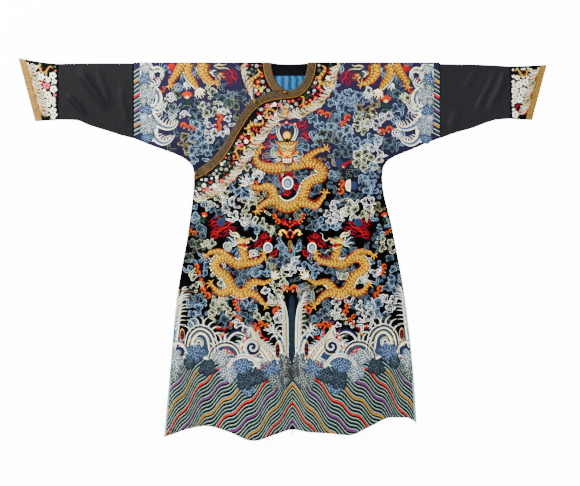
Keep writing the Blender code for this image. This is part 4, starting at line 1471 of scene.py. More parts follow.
def pearl(at, radius):
    """The flaming pearl: a white ring round a blue and red heart."""
    rings = [
        (1.0, -1, WHITE), (0.9, 0.9, WHITE), (0.76, 1.0, WHITE), (0.7, 0.7, SLATE), (0.3, 0.8, PALE_BLUE),
    ]
    made = [disc((0, 0), radius, rings, 18, 1.15)]
    made.append(ribbon(
        spiral((0, 0), radius * 0.54, radius * 0.1, 1.1, 0.4, 12), [radius * 0.12], line(WHITE, 1.2), 13,
    ))
    made.append(ribbon(
        [(-radius * 0.2, radius * 0.2), (0, -radius * 0.1), (radius * 0.24, -radius * 0.4)], [radius * 0.12],
        line(CRIMSON, 1.3), 7,
    ))
    return placed(merged(made), at)


print("a claw has", len(claw().faces), "triangles")


# %% A head from the front
def front_head():
    """A dragon's face from the front, about the point between its eyes."""
    made = []
    for s in (-1, 1):
        made += tuft((s * 8, -1), -90 + s * 58, 13, 15, (SLATE, PALE_BLUE, GREY_GREEN), 0.6, 96, 0.42)
        made += tuft((s * 6, 8), 90 - s * 66, 9, 12, (TEAL, SLATE, PALE_BLUE), 0.6, 70, 0.45)
        made += tuft((s * 6, 9), 90 - s * 80, 5, 8, (WHITE, CREAM), 0.5, 60, 0.6)
        for reach, half in ((0, 1.7), (2.2, 1.0)):
            tongue = [
                (s * (4.6 + reach), -9), (s * (6.8 + reach), -13), (s * (8.4 + reach), -19),
                (s * (6.6 + reach), -24),
            ]
            made.append(ribbon(
                tongue, [half, half * 1.1, half * 0.8, 0.15], thread(WHITE, SLATE, 1.5), 13, 0.3,
            ))
        made.append(ribbon(
            [(s * 1, -22), (s * 4, -25), (s * 7.5, -24)], [0.8, 0.8, 0.3], thread(SLATE, PALE_BLUE, 0.8), 9,
        ))
        ear = [(s * 6, -6), (s * 8.6, -9.4), (s * 12.0, -9.0), (s * 11.0, -5.4), (s * 8.6, -2)]
        made.append(patch(ear, [(1, -1, GOLD_DARK), (0.8, 1.2, GOLD), (0.4, 1.4, CORAL)], level=0.2))
        made += tuft((s * 7, 2), 90 - s * 58, 7, 6.4, (GOLD, GOLD_PALE, GOLD_DEEP), 0.5, 84, 0.75)
    made.append(disc(
        (0, -14.5), 4.6, [(1, -1, GOLD_DEEP), (0.86, 1.4, GOLD), (0.5, 2.2, GOLD_PALE)], 18, 1.05, level=0.2,
    ))
    made.append(patch(
        [(-1.3, -11.6), (0, -13), (1.3, -11.6), (0.9, -9.6), (1.5, -7), (-1.5, -7), (-0.9, -9.6)],
        [(1, 0.9, BLACK), (0.7, 2.3, BLACK)], level=0.5,
    ))
    face = [
        (-9.6, -6.4), (-6.6, -9), (-2.6, -10), (0, -8.8), (2.6, -10), (6.6, -9), (9.6, -6.4), (9.8, -1),
        (8.2, 3.4), (6.6, 7), (6.2, 12), (3.6, 16), (0, 17.2), (-3.6, 16), (-6.2, 12), (-6.6, 7), (-8.2, 3.4),
        (-9.8, -1),
    ]
    rings = [(1.0, -1, GOLD_DARK), (0.9, 0.8, GOLD_DEEP), (0.7, 1.2, GOLD), (0.4, 1.7, GOLD_PALE)]
    made.append(patch(rounded(face, 42), rings, (0, 1), 0.4))
    for s in (-1, 1):
        brow = [(s * 0.6, -1.4), (s * 2.4, -3.4), (s * 5.6, -3.8), (s * 9.0, -7.4)]
        made.append(ribbon(
            brow, [0.9, 2.0, 1.9, 0.3],
            [
                (-1, -1, GOLD_DARK), (-0.6, 0.8, GOLD_DARK), (-0.3, 1.3, CREAM), (0.1, 1.3, CREAM),
                (0.5, 1.1, GREY_GREEN), (0.75, 0.8, GOLD_DARK), (1, -1, GOLD_DARK),
            ], 12, 1.5,
        ))
        made.append(ribbon(
            [(s * 1.2, -6), (s * 3.6, -7.8), (s * 6.6, -7.2)], [0.5, 0.8, 0.3], thread(GREY_GREEN, GOLD_DARK),
            9, 1.5,
        ))
        made.append(disc(
            (s * 3.3, 0.1), 2.5,
            [(1, 0.8, GOLD_DARK), (0.84, 1.4, BLACK), (0.54, 1.5, BLACK), (0.44, 1.7, WHITE)], 12, 0.76,
            s * 0.2, level=1.4,
        ))
        made.append(disc((s * 3.2, 0.1), 0.75, [(1, 1.6, BLACK), (0.6, 2.1, BLACK)], 8, level=1.5))
        made.append(ribbon(
            [(s * 8.4, -1.4), (s * 6.8, 2.6), (s * 3.4, 5.8)], [0.7, 1.6, 0.8], thread(RED, CORAL, 1.0), 9,
            1.7,
        ))
        made.append(ribbon(
            [(s * 6.2, 1.6), (s * 4.6, 3.6), (s * 2.4, 3.8)], [0.3, 0.6, 0.3], line(GOLD_DARK, 0.9), 9, 1.6,
        ))
        made.append(disc(
            (s * 1.8, 5.0), 1.5, [(1, 1, GOLD_DARK), (0.72, 1.8, GOLD_PALE)], 9, 0.85, level=1.7,
        ))
        made.append(disc((s * 1.7, 5.4), 0.5, [(1, 2, BLACK), (0.6, 2.2, BLACK)], 6, level=1.7))
        whisker = [(s * 4, 6.6), (s * 9, 5.0), (s * 13, 7.4), (s * 16, 4.6), (s * 15, 2.2)]
        made.append(ribbon(whisker, [0.5, 0.7, 0.6, 0.5, 0.1], thread(WHITE, GOLD, 1.2), 20, 1.4))
        made.append(ribbon(
            [(s * 5.4, 15), (s * 3.4, 13.4), (s * 1.4, 14.6)], [0.3, 0.7, 0.3], thread(TEAL, SLATE), 8, 1.8,
        ))
    made.append(ribbon(
        [(0, -4), (0, 0), (0, 4.4)], [1.1, 0.9, 1.6], thread(GOLD_PALE, GOLD_DARK, 1.2), 8, 1.8,
    ))
    for x, y in (
        (0, -6.8), (-2.7, -7.2), (2.7, -7.2), (-5.4, -6.9), (5.4, -6.9), (-1.4, -4.8), (1.4, -4.8),
        (-4.4, 7.6), (4.4, 7.6),
    ):
        made.append(disc(
            (x, y), 1.35, [(1, 1.3, GOLD_DARK), (0.74, 1.7, GOLD_DARK), (0.5, 1.9, GOLD_PALE)], 7, level=0.6,
        ))
    made.append(disc((0, 7.3), 2.2, [(1, 1.4, RED), (0.6, 2.0, RED)], 9, 0.6, level=1.6))
    mouth = [(-5.6, 8.4), (0, 7.8), (5.6, 8.4), (5.4, 12.6), (0, 13.6), (-5.4, 12.6)]
    made.append(patch(
        rounded(mouth, 24), [(1, 1.4, DARK_RED), (0.84, 1.8, RED), (0.5, 1.6, CRIMSON)],
        level=1.2,
    ))
    for x in (-3.6, -1.2, 1.2, 3.6):
        made.append(disc((x, 9.7), 1.25, [(1, 1, WHITE), (0.75, 2.1, WHITE)], 6, 1.1, 0.5, level=1.4))
        made.append(disc((x * 0.9, 12.0), 1.05, [(1, 1, WHITE), (0.75, 2.1, WHITE)], 6, 0.9, 0.5, level=1.4))
    made += tuft((0, 16), 90, 7, 7, (TEAL, GREY_GREEN, PALE_BLUE), 0.6, 120, 0.5)
    return merged(made)


# %% A head from the side
def side_head():
    """A dragon's head from the side, facing right with its jaws open, about the root of its jaw."""
    made = tuft((-3, 0), 190, 13, 15, (WHITE, PALE_BLUE, TEAL, SLATE), 0.9, 96, 0.55)
    made += tuft((-1, 5), 120, 7, 10, (TEAL, SLATE, PALE_BLUE), 0.8, 80, 0.5)
    for lift in (0, -3):
        horn = [(-1, -5 + lift * 0.4), (-5, -8 + lift), (-10, -8 + lift), (-13, -11 + lift)]
        made.append(ribbon(horn, [1.3, 1.1, 0.7, 0.15], thread(WHITE, CREAM, 1.5), 14, 0.4))
    skull = [
        (-5, 2), (-5.5, -3), (-2, -7), (3, -7.5), (6, -5.4), (8, -6.0), (10.4, -8.4), (12.6, -7.8),
        (12.6, -4.6), (10, -2.4), (6, -0.6), (1, 1.4),
    ]
    made.append(patch(
        rounded(skull, 36),
        [(1, -1, GOLD_DARK), (0.88, 0.9, GOLD_DARK), (0.7, 1.3, GOLD), (0.4, 1.9, GOLD_PALE)], (3, -3), 0.5,
    ))
    jaw = [(-3, 2), (2, 1.6), (6, 3.4), (9.4, 6.2), (11, 6.2), (10, 8.6), (7, 8.4), (2, 6.4), (-2.6, 5)]
    made.append(patch(
        rounded(jaw, 30),
        [(1, -1, GOLD_DARK), (0.86, 0.8, GOLD_DARK), (0.66, 1.2, GOLD), (0.4, 1.5, GOLD_PALE)], (3, 4.4), 0.4,
    ))
    for x, y in (
        (-1.4, 3.4), (1.4, 4.0), (4.2, 5.0), (-3.4, -3.6), (-1.0, -5.2), (-1.2, -2.4), (-3.2, -1.0),
        (1.4, -3.0),
    ):
        made.append(disc(
            (x, y), 1.35, [(1, 1.3, GOLD_DARK), (0.72, 1.7, GOLD_DARK), (0.46, 1.9, GOLD_PALE)], 7, level=0.7,
        ))
    made.append(ribbon(
        [(0, 1), (5, 1.2), (8.6, 3.2), (13.4, 1.2)], [1.6, 2.4, 1.8, 0.2], thread(RED, DARK_RED, 1.2), 12,
        0.8,
    ))
    for x, y in ((7.2, -1.2), (9.4, -2.4)):
        made.append(disc((x, y), 0.8, [(1, 1, WHITE), (0.6, 2, WHITE)], 6, 1.4, level=0.9))
        made.append(disc((x - 1.6, y + 6.2), 0.75, [(1, 1, WHITE), (0.6, 2, WHITE)], 6, 1.3, level=0.9))
    made.append(disc(
        (4.0, -3.8), 2.3, [(1, 1, GOLD_DARK), (0.84, 1.5, BLACK), (0.56, 1.6, BLACK), (0.44, 1.9, WHITE)], 11,
        0.85, level=1.2,
    ))
    made.append(ribbon(
        [(-0.4, -5.6), (3.6, -7.4), (7.6, -5.2)], [0.7, 1.5, 0.4], thread(SAGE, TEAL, 1.0), 9, 1.5,
    ))
    made.append(ribbon([(-2, 0.2), (3, 0.4), (6.6, -0.2)], [0.5, 0.8, 0.3], thread(ORANGE, RED, 1.0), 9, 1.4))
    made.append(disc((11.4, -6.6), 1.3, [(1, 1, GOLD_DARK), (0.7, 1.8, CREAM)], 9, level=0.9))
    made.append(ribbon(
        [(12, -6), (15.6, -4.6), (18.4, -8), (18, -12), (20.6, -14)], [0.6, 0.8, 0.7, 0.5, 0.1],
        thread(WHITE, SAGE, 0.9), 18, 0.9,
    ))
    made.append(ribbon([(11, 7), (15, 6), (17, 9), (20, 8)], [0.5, 0.5, 0.4, 0.1], line(CREAM, 0.9), 14, 0.7))
    made.append(disc(
        (-3.6, -0.6), 2.6, [(1, 1, GOLD_DEEP), (0.8, 1.6, WHITE), (0.4, 1.4, PALE_BLUE)], 10, 0.7, 0.3,
        level=0.8,
    ))
    return merged(made)


FRONT_HEAD, SIDE_HEAD = front_head(), side_head()
print("heads:", len(FRONT_HEAD.faces), "and", len(SIDE_HEAD.faces), "triangles")

# %% [markdown]
# ## The chest dragon and the pair on the skirt
#
# The chest carries the dragon that faces the viewer, coiled round its pearl. On the skirt two walking
# dragons meet at the centre, mirror images of each other. Each figure also gives the circles that the
# clouds will keep clear of.

# %% The chest dragon
CHEST_PATH = [
    (-9, 104.4), (-2, 103.4), (8, 102), (18, 100.5), (28, 103), (33.5, 109.5), (31, 116), (23, 118.5),
    (17, 123), (15, 130), (11.5, 137.5), (4.5, 143.2), (-3.5, 145), (-11, 141.6), (-15.6, 134.6),
    (-17.4, 127.6), (-22.6, 124.4), (-29, 126), (-35.6, 125.4), (-42.5, 122),
]
CHEST_HALF = [
    5.4, 5.8, 6.0, 5.8, 5.6, 5.4, 5.0, 5.0, 5.4, 5.8, 6.0, 6.2, 6.2, 5.8, 5.2, 4.6, 4.0, 3.2, 2.2, 1.0,
]
CHEST_HEAD, CHEST_PEARL, CHEST_TAIL = (-2.4, 88.0), (-1.8, 121), (-41.5, 122)
CHEST_BUDS = ((-10, 62.5), (-3, 60.4), (5.4, 62))
CHEST_GARLAND = [(-12, 64.5), (-6.4, 62), (-3, 61), (1, 62), (8, 64)]
CHEST_LEGS = (
    (
        [(3, 104.4), (-14, 106.4), (-27, 104.6), (-33, 98.6), (-33, 91.5), (-29.5, 87)],
        [5.8, 6.0, 4.8, 3.4, 2.4, 1.8], -60,
    ),
    ([(9, 101), (16, 96.5), (23, 91.5), (29.5, 88.2), (35.5, 87)], [4.0, 3.8, 3.2, 2.6, 1.8], -4),
    ([(-10, 139), (-19, 139.6), (-26.5, 143), (-32, 147.5)], [5.4, 4.2, 3.0, 1.8], 118),
    ([(8, 139.5), (18, 141), (26, 143.6), (31, 138.6), (35.4, 132)], [5.4, 4.8, 3.6, 2.6, 1.8], -52),
)
CHEST_SCROLLS = (
    [(13, 96), (16, 104), (22, 106), (28, 100), (34, 94)],
    [(-29, 96), (-23, 99), (-17, 98)],
    [(18, 136), (25, 139), (30, 134)],
)
CHEST_FLAMES = (
    ((-6, 113.6), -16, 7, 16), ((4, 113), -24, 8, 13), ((-9, 122), 80, 5, 9), ((7, 125), 70, 6, 11),
    ((-3, 131), -10, 6, 12), ((13, 63), -34, 11, 15), ((17, 74), 30, 9, 14), ((-17, 73), -36, 8, 13),
    ((-22, 83), -30, 7, 12), ((-24, 93), 4, 5, 9),
)


def long_body(path, half, count, finned=slice(None)):
    """A dragon's body: the ribbon, its scales and the fin along part of its back."""
    made = fin(path[finned], half[finned], 1.8, WHITE)
    made.append(ribbon(path, half, body_section(GOLD_DEEP, RED), count))
    made += scale_rows(path, half, (-0.62, -0.22, 0.2, 0.6), 1.75, 0.0)
    return made


chest = long_body(CHEST_PATH, CHEST_HALF, 110, slice(4, 15))
chest += tuft(CHEST_TAIL, 222, 9, 12, (WHITE, CREAM, PALE_BLUE), 0.8, 120)
for values in CHEST_LEGS:
    chest += leg(*values)
for path in CHEST_SCROLLS:
    chest.append(ribbon(path, [0.6, 0.9, 0.7, 0.2], thread(RED, DARK_RED, 0.9), 14, 1.6))
chest.append(placed(FRONT_HEAD, CHEST_HEAD, level=1.6))
chest.append(pearl(CHEST_PEARL, 5.8))
for at in CHEST_BUDS:
    chest.append(disc(at, 1.7, [(1, -1, ORANGE), (0.7, 1.0, CORAL), (0.4, 1.2, CREAM)], 9))
chest.append(ribbon(CHEST_GARLAND, [0.6], line(CORAL, 0.6), 14))
for values in CHEST_FLAMES:
    chest.append(flames(*values))
chest_clear = np.concatenate([
    clear_of(CHEST_PATH, np.array(CHEST_HALF) * 0.84, 46),
    clear_of([(-4, 105), (-27, 104.6), (-33, 91), (-29, 84)], [4.4, 4.4, 4, 4.5], 16),
    clear_of([(-2.6, 66), (-2.6, 98)], [10, 11], 8),
    clear_of([(10, 100), (24, 91), (40, 87)], [4, 3, 4.5], 12),
    clear_of([(-12, 139), (-34, 149)], [4, 4.5], 7),
    clear_of([(20, 141), (29, 142), (38, 129)], [4, 4, 5], 9),
    [
        (-1.8, 121, 9.0), (-47, 118, 5.0), (0, 131, 7), (14, 67, 8), (17, 75, 6), (-19, 76, 7), (-23, 88, 5),
        (-3, 61, 5), (3, 61, 5), (-9, 61, 4),
    ],
])
print("chest dragon:", sum(len(d.faces) for d in chest), "triangles")

# %% The skirt's pair
SKIRT_PATH = [
    (-49, 184), (-46.5, 190), (-44.4, 197), (-48.6, 202.6), (-56, 200.6), (-63, 196.4), (-70.5, 197),
    (-74.6, 203), (-71.6, 209), (-65, 212.6), (-60.6, 219), (-57.4, 226.4), (-51.4, 231), (-44.8, 230.4),
    (-41, 224.6), (-37.6, 220.6), (-32, 219.8), (-26, 221), (-20.4, 218.8), (-15.6, 215.6),
]
SKIRT_HALF = [
    3.6, 4.2, 4.8, 5.0, 4.8, 4.8, 5.0, 5.0, 4.8, 4.8, 5.2, 5.4, 5.6, 5.4, 4.6, 3.8, 3.2, 2.6, 1.8, 0.9,
]
SKIRT_HEAD, SKIRT_PEARL, SKIRT_TAIL = (-49.5, 181.5), (-21.6, 185.6), (-16.6, 216)
SKIRT_LEGS = (
    ([(-56, 201), (-62.6, 194), (-70, 189.6), (-77, 190.4), (-82, 192.6)], [4.2, 3.6, 3.0, 2.4, 1.6], 160),
    ([(-47, 201), (-38, 200.4), (-29.6, 198.4), (-25, 192.6)], [4.4, 3.8, 3.0, 1.8], -70),
    ([(-58, 227), (-66, 231.6), (-73, 229), (-78, 223)], [5.0, 4.0, 3.0, 1.8], -110),
    ([(-46, 230), (-36, 231.6), (-29.6, 236.6), (-25, 242.4)], [5.0, 4.0, 2.8, 1.6], 56),
)
SKIRT_SCROLLS = (
    [(-64, 190), (-57, 194), (-53, 200)],
    [(-40, 197), (-34, 195), (-29, 193)],
    [(-58, 235), (-50, 238), (-42, 237.6)],
)
SKIRT_FLAMES = (
    ((-31, 182), -50, 8, 14), ((-22, 177), -30, 8, 14), ((-16, 192), -50, 6, 14), ((-26, 174), -40, 5, 10),
    ((-72, 162), -28, 16, 22), ((-62, 166), -34, 13, 22), ((-74, 172), -20, 9, 16),
)


def skirt_dragon():
    """A dragon that walks towards the centre, with its head turned to the pearl."""
    made = long_body(SKIRT_PATH, SKIRT_HALF, 120, slice(2, 17))
    made += tuft(SKIRT_TAIL, -50, 8, 10, (WHITE, CREAM), 0.8, 110)
    for values in SKIRT_LEGS:
        made += leg(*values)
    for path in SKIRT_SCROLLS:
        made.append(ribbon(path, [0.5, 0.9, 0.4], thread(RED, DARK_RED, 0.9), 12, 1.6))
    made.append(placed(SIDE_HEAD, SKIRT_HEAD, 6, 0.9, level=0.6))
    made.append(pearl(SKIRT_PEARL, 4.6))
    for values in SKIRT_FLAMES:
        made.append(flames(*values))
    return made


skirt = skirt_dragon()
skirt_clear = np.concatenate([
    clear_of(SKIRT_PATH, np.array(SKIRT_HALF) * 0.84, 50),
    clear_of([(-56, 201), (-70, 189.6), (-85, 193)], [3.4, 3, 4.5], 12),
    clear_of([(-47, 201), (-29, 198.4), (-24, 190)], [3.4, 3, 4], 10),
    clear_of([(-58, 227), (-72, 230), (-80, 220)], [4, 3, 5], 10),
    clear_of([(-46, 230), (-32, 234), (-23, 246)], [4, 3, 4.5], 10),
    clear_of([(-66, 180), (-34, 178)], [5, 8], 10),
    [(-21.6, 185.6, 7.5), (-13, 211, 5), (-20, 178, 7), (-17, 191, 4), (-27, 175, 4)],
    clear_of([(-78, 164), (-54, 168)], [8, 8], 8), clear_of([(-76, 172), (-62, 173)], [6, 6], 4),
])
skirt_right = mirrored(skirt, (1.0, 0))
skirt_clear_right = skirt_clear * [-1, 1, 1] + [1, 0, 0]
print("one skirt dragon:", sum(len(d.faces) for d in skirt), "triangles")

# %% [markdown]
# ## Small figures
#
# Bats, flowers, beads, and the sun and moon are scattered among the clouds. The shoulders carry two more
# dragons, which pass over the fold, so only their legs, a coil and the tail show from the front.

# %% Bats, flowers and beads
def bat(at, turn, size=1.0):
    """A bat: two hooked wings either side of a small body, with pale spots."""
    made = [disc((0, 0), 1.5, [(1, -1, DARK_RED), (0.7, 1.1, RED), (0.3, 1.3, OCHRE)], 9, 0.8)]
    for s in (-1, 1):
        path = [(s * 0.6, 0.2), (s * 2.6, -2.4), (s * 5.4, -2.4), (s * 7.0, 0.2), (s * 5.4, 2.6)]
        made.append(ribbon(
            path, [1.0, 1.5, 1.5, 1.1, 0.2],
            [(-1, -1, RED), (-0.5, 0.7, ORANGE), (0.2, 0.9, ORANGE), (0.6, 0.7, OCHRE), (1, -1, OCHRE)], 13,
        ))
        made.append(ribbon(
            [(s * 1.4, 1.0), (s * 3.4, 0.6), (s * 4.6, 1.6)], [0.4, 0.8, 0.2], thread(OCHRE, RED, 0.8), 7,
        ))
        made.append(disc((s * 2.6, 2.2), 0.7, [(1, -1, CREAM), (0.6, 0.8, CREAM)], 6))
    return placed(merged(made), at, turn, size)


PETALS = 5


def flower(at, turn, size, petal, heart):
    """A blossom: lobed petals round a small heart."""
    made = []
    for k in range(PETALS):
        a = 2 * math.pi * k / PETALS
        rings = [(1, -1, petal * 0.8), (0.8, 0.8, petal), (0.4, 0.6, petal * 0.9)]
        made.append(disc(1.5 * toward(a), 1.25, rings, 7))
    made.append(disc((0, 0), 0.9, [(1, 0.4, heart), (0.6, 1.2, heart)], 7))
    return placed(merged(made), at, turn, size)


def spray(at, turn, size):
    """A flower on its stem with two leaves and fringed petals."""
    made = [ribbon([(0, 9), (0.6, 4), (0, 0)], [0.5], line(LEAF, 0.5), 8)]
    for s in (-1, 1):
        made.append(ribbon([(0, 5), (s * 3, 3.6), (s * 5.4, 5)], [0.3, 1.1, 0.1], thread(LEAF, TEAL), 9))
        made.append(ribbon([(0, 7), (s * 2.4, 7.2), (s * 4.2, 9.4)], [0.3, 0.9, 0.1], thread(SAGE, LEAF), 9))
    for k in range(7):
        tip = 5.2 * toward(math.radians(-150 + 20 * k))
        made.append(ribbon(
            [(0, 0), tip * 0.6, tip], [0.6, 1.2, 0.5], [(-1, -1, OCHRE), (0, 0.9, ORANGE), (1, -1, RED)], 7,
        ))
    made.append(disc((0, 0), 2.2, [(1, 0.5, OCHRE), (0.6, 1.2, CREAM)], 9, 0.7))
    return placed(merged(made), at, turn, size)


def beads(places, colour, radius=1.1):
    """A few round beads, each with a painted highlight: its colour is a fifth brighter at its crown."""
    return [
        disc(p, radius, [(1, -1, colour), (0.7, 1.0, colour), (0.3, 1.2, colour * 1.2)], 8) for p in places
    ]


SHEET_SEAM, SHEET_SHOULDER = 289.5, 62


def spot(x, y):
    """A place on the sheet measured from its corner, as steps from the centre of the shoulder line."""
    return (x - SHEET_SEAM, y - SHEET_SHOULDER)


def px(*places):
    """Several places on the sheet."""
    return [spot(x, y) for x, y in places]


# %% Where the small figures go, and the centre ornament
BATS = (
    (256, 187, 80, 0.8), (341, 187, 100, 0.95), (276, 219, 60, 0.75), (302, 219, -60, 0.75),
    (218, 122, 100, 1.1), (187, 127, 20, 0.95), (346, 121, -60, 0.95), (324, 114, 20, 0.9),
    (386, 131, -20, 0.95), (290, 289, 0, 1.1), (278, 308, -60, 0.95), (306, 307, 60, 0.95),
    (236, 306, 70, 0.8), (205, 293, 50, 0.9), (347, 309, -70, 0.85), (379, 292, -60, 0.9),
    (197, 270, 80, 0.8), (384, 270, -80, 0.8), (238, 318, 40, 0.6), (352, 318, -40, 0.6), (264, 325, 20, 0.8),
    (322, 325, -20, 0.8), (255, 327, 80, 0.6), (330, 326, 80, 0.6), (202, 282, 60, 0.55), (192, 232, 30, 0.6),
    (389, 232, -30, 0.6),
)
SPRAYS = (
    (187, 97, 0, 1.2), (386, 101, 0, 1.2), (204, 216, 20, 0.75), (385, 216, -20, 0.75), (343, 167, 60, 0.5),
    (239, 333, 0, 0.6), (345, 332, 0, 0.6),
)
BLUE_DISCS = ((221, 222, 4.4), (358, 222, 4.6), (339, 163, 4.4))
small, small_clear = [], []
for x, y, turn, size in BATS:
    small.append(bat(spot(x, y), turn, size))
    small_clear.append((*spot(x, y), 5.4 * size))
for x, y, turn, size in SPRAYS:
    small.append(spray(spot(x, y), turn, size))
    small_clear += [(*spot(x, y - 1), 6.0 * size), (*spot(x, y + 5), 5.0 * size)]
for x, y, r in BLUE_DISCS:
    rings = [(1, -1, DEEP_BLUE), (0.85, 0.6, MID_BLUE), (0.4, 0.7, MID_BLUE * 0.8)]
    small.append(disc(spot(x, y), r, rings, 16))
    small_clear.append((*spot(x, y), r + 0.6))
MOON_AT, SUN_AT = (61, 123.5), (64.6, 123.5)
moon = [(0, -6.6), (-4, -5), (-5.6, 0), (-4, 5), (0, 6.6), (0.4, 3), (0.6, 0), (0.4, -3)]
small.append(placed(
    patch(moon, [(1, -1, CREAM), (0.8, 0.8, WHITE), (0.4, 0.9, CREAM)], (-2.4, 0)), MOON_AT,
))
small.append(disc(
    SUN_AT, 3.6, [(1, -1, DEEP_BLUE), (0.8, 0.5, MID_BLUE), (0.4, 0.6, MID_BLUE)], 12, 1.4,
))
small_clear += [(58.6, 123.5, 6.6), (65, 123.5, 4.6)]
small.append(ribbon([(52, 104), (56, 102), (62, 99)], [1.4, 2.0, 0.8], thread(RED, CRIMSON, 0.9), 9))
small_clear += [(57, 102, 4.4)]
ORNAMENT, ORNAMENT_KNOT = 0.6, ((3, 172), (7, 168.4), (10, 170), (8.6, 173), (12.6, 171.6))
for s in (-1, 1):
    knot = [(ORNAMENT + s * x, y) for x, y in ORNAMENT_KNOT]
    small.append(ribbon(knot, [1.1, 1.2, 1.1, 0.9, 0.3], thread(CREAM, GOLD_PALE, 0.9), 20))
    small += beads([(ORNAMENT + s * 2.6, 163), (ORNAMENT + s * 5.0, 161), (ORNAMENT + s * 2.4, 175)], CORAL)
    small.append(ribbon(
        [(ORNAMENT + s * 1, 176), (ORNAMENT + s * 3.4, 172), (ORNAMENT + s * 1, 168)], [0.8, 1.2, 0.5],
        thread(CORAL, ORANGE, 1.0), 10,
    ))
    small.append(flames((ORNAMENT + s * 6, 160), 90 + s * 60, 6, 10))
    tassel = [(ORNAMENT, 178), (ORNAMENT + s * 1.6, 182), (ORNAMENT, 187)]
    small.append(ribbon(tassel, [0.7], thread(GOLD_DEEP, GOLD), 9))
small += (
    beads([(ORNAMENT, 160), (ORNAMENT, 164.6), (ORNAMENT, 188.4)], ORANGE, 1.4)
    + beads([(ORNAMENT, 157), (ORNAMENT, 168)], PALE_BLUE, 1.1)
)
small_clear += [
    (ORNAMENT, 160, 5), (ORNAMENT, 168, 6), (ORNAMENT, 176, 5), (ORNAMENT, 186, 3.4),
    (9, 170.6, 4), (-8, 170.6, 4), (8, 160, 4), (-7, 160, 4),
]
print("small figures:", len(small), "drawings")

# %% Shoulder dragons
SHOULDER_LEGS = (
    (px((183, 63), (178, 71), (173, 79), (170, 84)), [5.2, 4.6, 3.2, 1.8], 110),
    (px((204, 63), (203, 71), (208, 79), (215, 83)), [6.4, 6.2, 4.4, 1.8], 20),
)
SHOULDER_COIL = px((190, 63), (187.5, 70), (190.6, 78), (195, 84), (197.5, 89))
SHOULDER_SCROLL = px((207, 72), (211, 78), (214, 80))
SHOULDER_FLAME, SHOULDER_CURL = spot(231, 76), spot(194.5, 73)
SHOULDER_TUFTS = (
    (spot(197.5, 89), 60, 8, 11, (WHITE, CREAM), 0.7, 110, 0.8),
    (spot(214, 66), 8, 6, 17, (CREAM, TEAL, SLATE), 0.9, 34, 0.8),
    (spot(194, 66), 70, 7, 14, (TEAL, PALE_BLUE, SLATE), 0.7, 60, 0.6),
    (spot(174, 65), 150, 6, 9, (RED, ORANGE), 0.7, 80, 0.7),
    (spot(181, 72), 70, 5, 13, (SAGE, PALE_BLUE, TEAL), 0.7, 40, 0.6),
    (spot(180, 66), 120, 6, 9, (RED, ORANGE, OCHRE), 0.8, 80, 0.6),
    (spot(197, 66), 80, 6, 9, (WHITE, SAGE, TEAL), 0.8, 80, 0.6),
    (spot(209, 72), 10, 6, 9, (SAGE, WHITE, TEAL), 0.8, 80, 0.6),
    (spot(176, 78), 170, 6, 9, (OCHRE, RED), 0.8, 80, 0.6),
    (spot(186, 82), 80, 6, 9, (PALE_BLUE, WHITE), 0.8, 80, 0.6),
    (spot(218, 74), 30, 6, 9, (GOLD, RED, GOLD_PALE), 0.8, 80, 0.6),
)


def shoulder_dragon():
    """The part of a dragon that shows in front of a shoulder: two legs, a coil and the tail."""
    made = long_body(SHOULDER_COIL, [4.4, 4.6, 4.2, 3.2, 1.6], 40)
    for path, half, turn in SHOULDER_LEGS:
        made += leg(path, half, turn)
    for values in SHOULDER_TUFTS:
        made += tuft(*values)
    made.append(flames(SHOULDER_FLAME, 62, 14, 21))
    made += [placed(d, SHOULDER_CURL) for d in curl(0, 0, 3.2, CLOUD_SILKS[BLUE_CLOUD], 1, 0)]
    made.append(ribbon(SHOULDER_SCROLL, [0.5, 0.9, 0.3], thread(RED, DARK_RED, 0.9), 9, 1.6))
    return made


shoulder = shoulder_dragon()
shoulder_clear = np.concatenate([
    clear_of(px((181, 64), (173, 80), (168, 88)), [6, 5, 5], 9),
    clear_of(px((190, 64), (190, 78), (200, 94)), [5, 5, 6], 9),
    clear_of(px((204, 64), (207, 78), (219, 84)), [6.4, 5.5, 5.5], 9),
    clear_of(px((216, 66), (230, 68)), [5, 4], 4), clear_of(px((228, 70), (236, 86)), [6, 5], 5),
    clear_of(px((184, 78), (186, 84)), [4, 4], 3),
])
shoulder_left = mirrored(shoulder, (-1.0, 1.0))
shoulder_clear_left = shoulder_clear * [-1, 1, 1] + [-1, 1, 0]
print("shoulder dragon:", sum(len(d.faces) for d in shoulder), "triangles")

# %% [markdown]
# ## Water
#
# Above the hem rise waves: pale crests that break into fingers of foam, spirals, and rounded heaps of foam,
# which are curls packed round a centre. Below them deep water is drawn as wavy diagonal stripes that meet
# in a chevron at the centre. The same waves and stripes, smaller, end the upper sleeves.

# %% Crests, fingers, spirals and foam
def strands(colours, rise=0.9):
    """The cross-section of several rows of stitch side by side, each a small ridge in its own colour."""
    n, section = len(colours), []
    for k, shade in enumerate(colours):
        start, end = -1 + 2 * k / n + (0.03 if k else 0), -1 + 2 * (k + 1) / n
        first, last = (-1 if k == 0 else rise * 0.5), (-1 if k == n - 1 else rise * 0.5)
        section += [(start, first, shade), ((start + end) / 2, rise, shade), (end, last, shade)]
    return section


WAVE = (WHITE, PALE_BLUE, MID_BLUE, CREAM, WHITE)
DEEP_WAVE = (WHITE, CREAM, SLATE, DEEP_BLUE, MID_BLUE, WHITE)
GREY_SHADE = paint(150, 152, 146)


def finger(base, tip, half, bend=0.5, level=0.0):
    """One finger of foam, which curves away from its base and tapers."""
    base, tip = np.asarray(base, float), np.asarray(tip, float)
    run = tip - base
    middle = base + run * 0.45 + bend * np.array([run[1], -run[0]])
    t = np.linspace(0, 1, 7)[:, None]
    path = base * (1 - t) ** 2 + middle * 2 * t * (1 - t) + tip * t**2
    return ribbon(
        path, [half * 0.9, half * 1.3, half * 1.1, half * 0.7, 0.15], thread(WHITE, SLATE, 1.0), 9, level,
    )


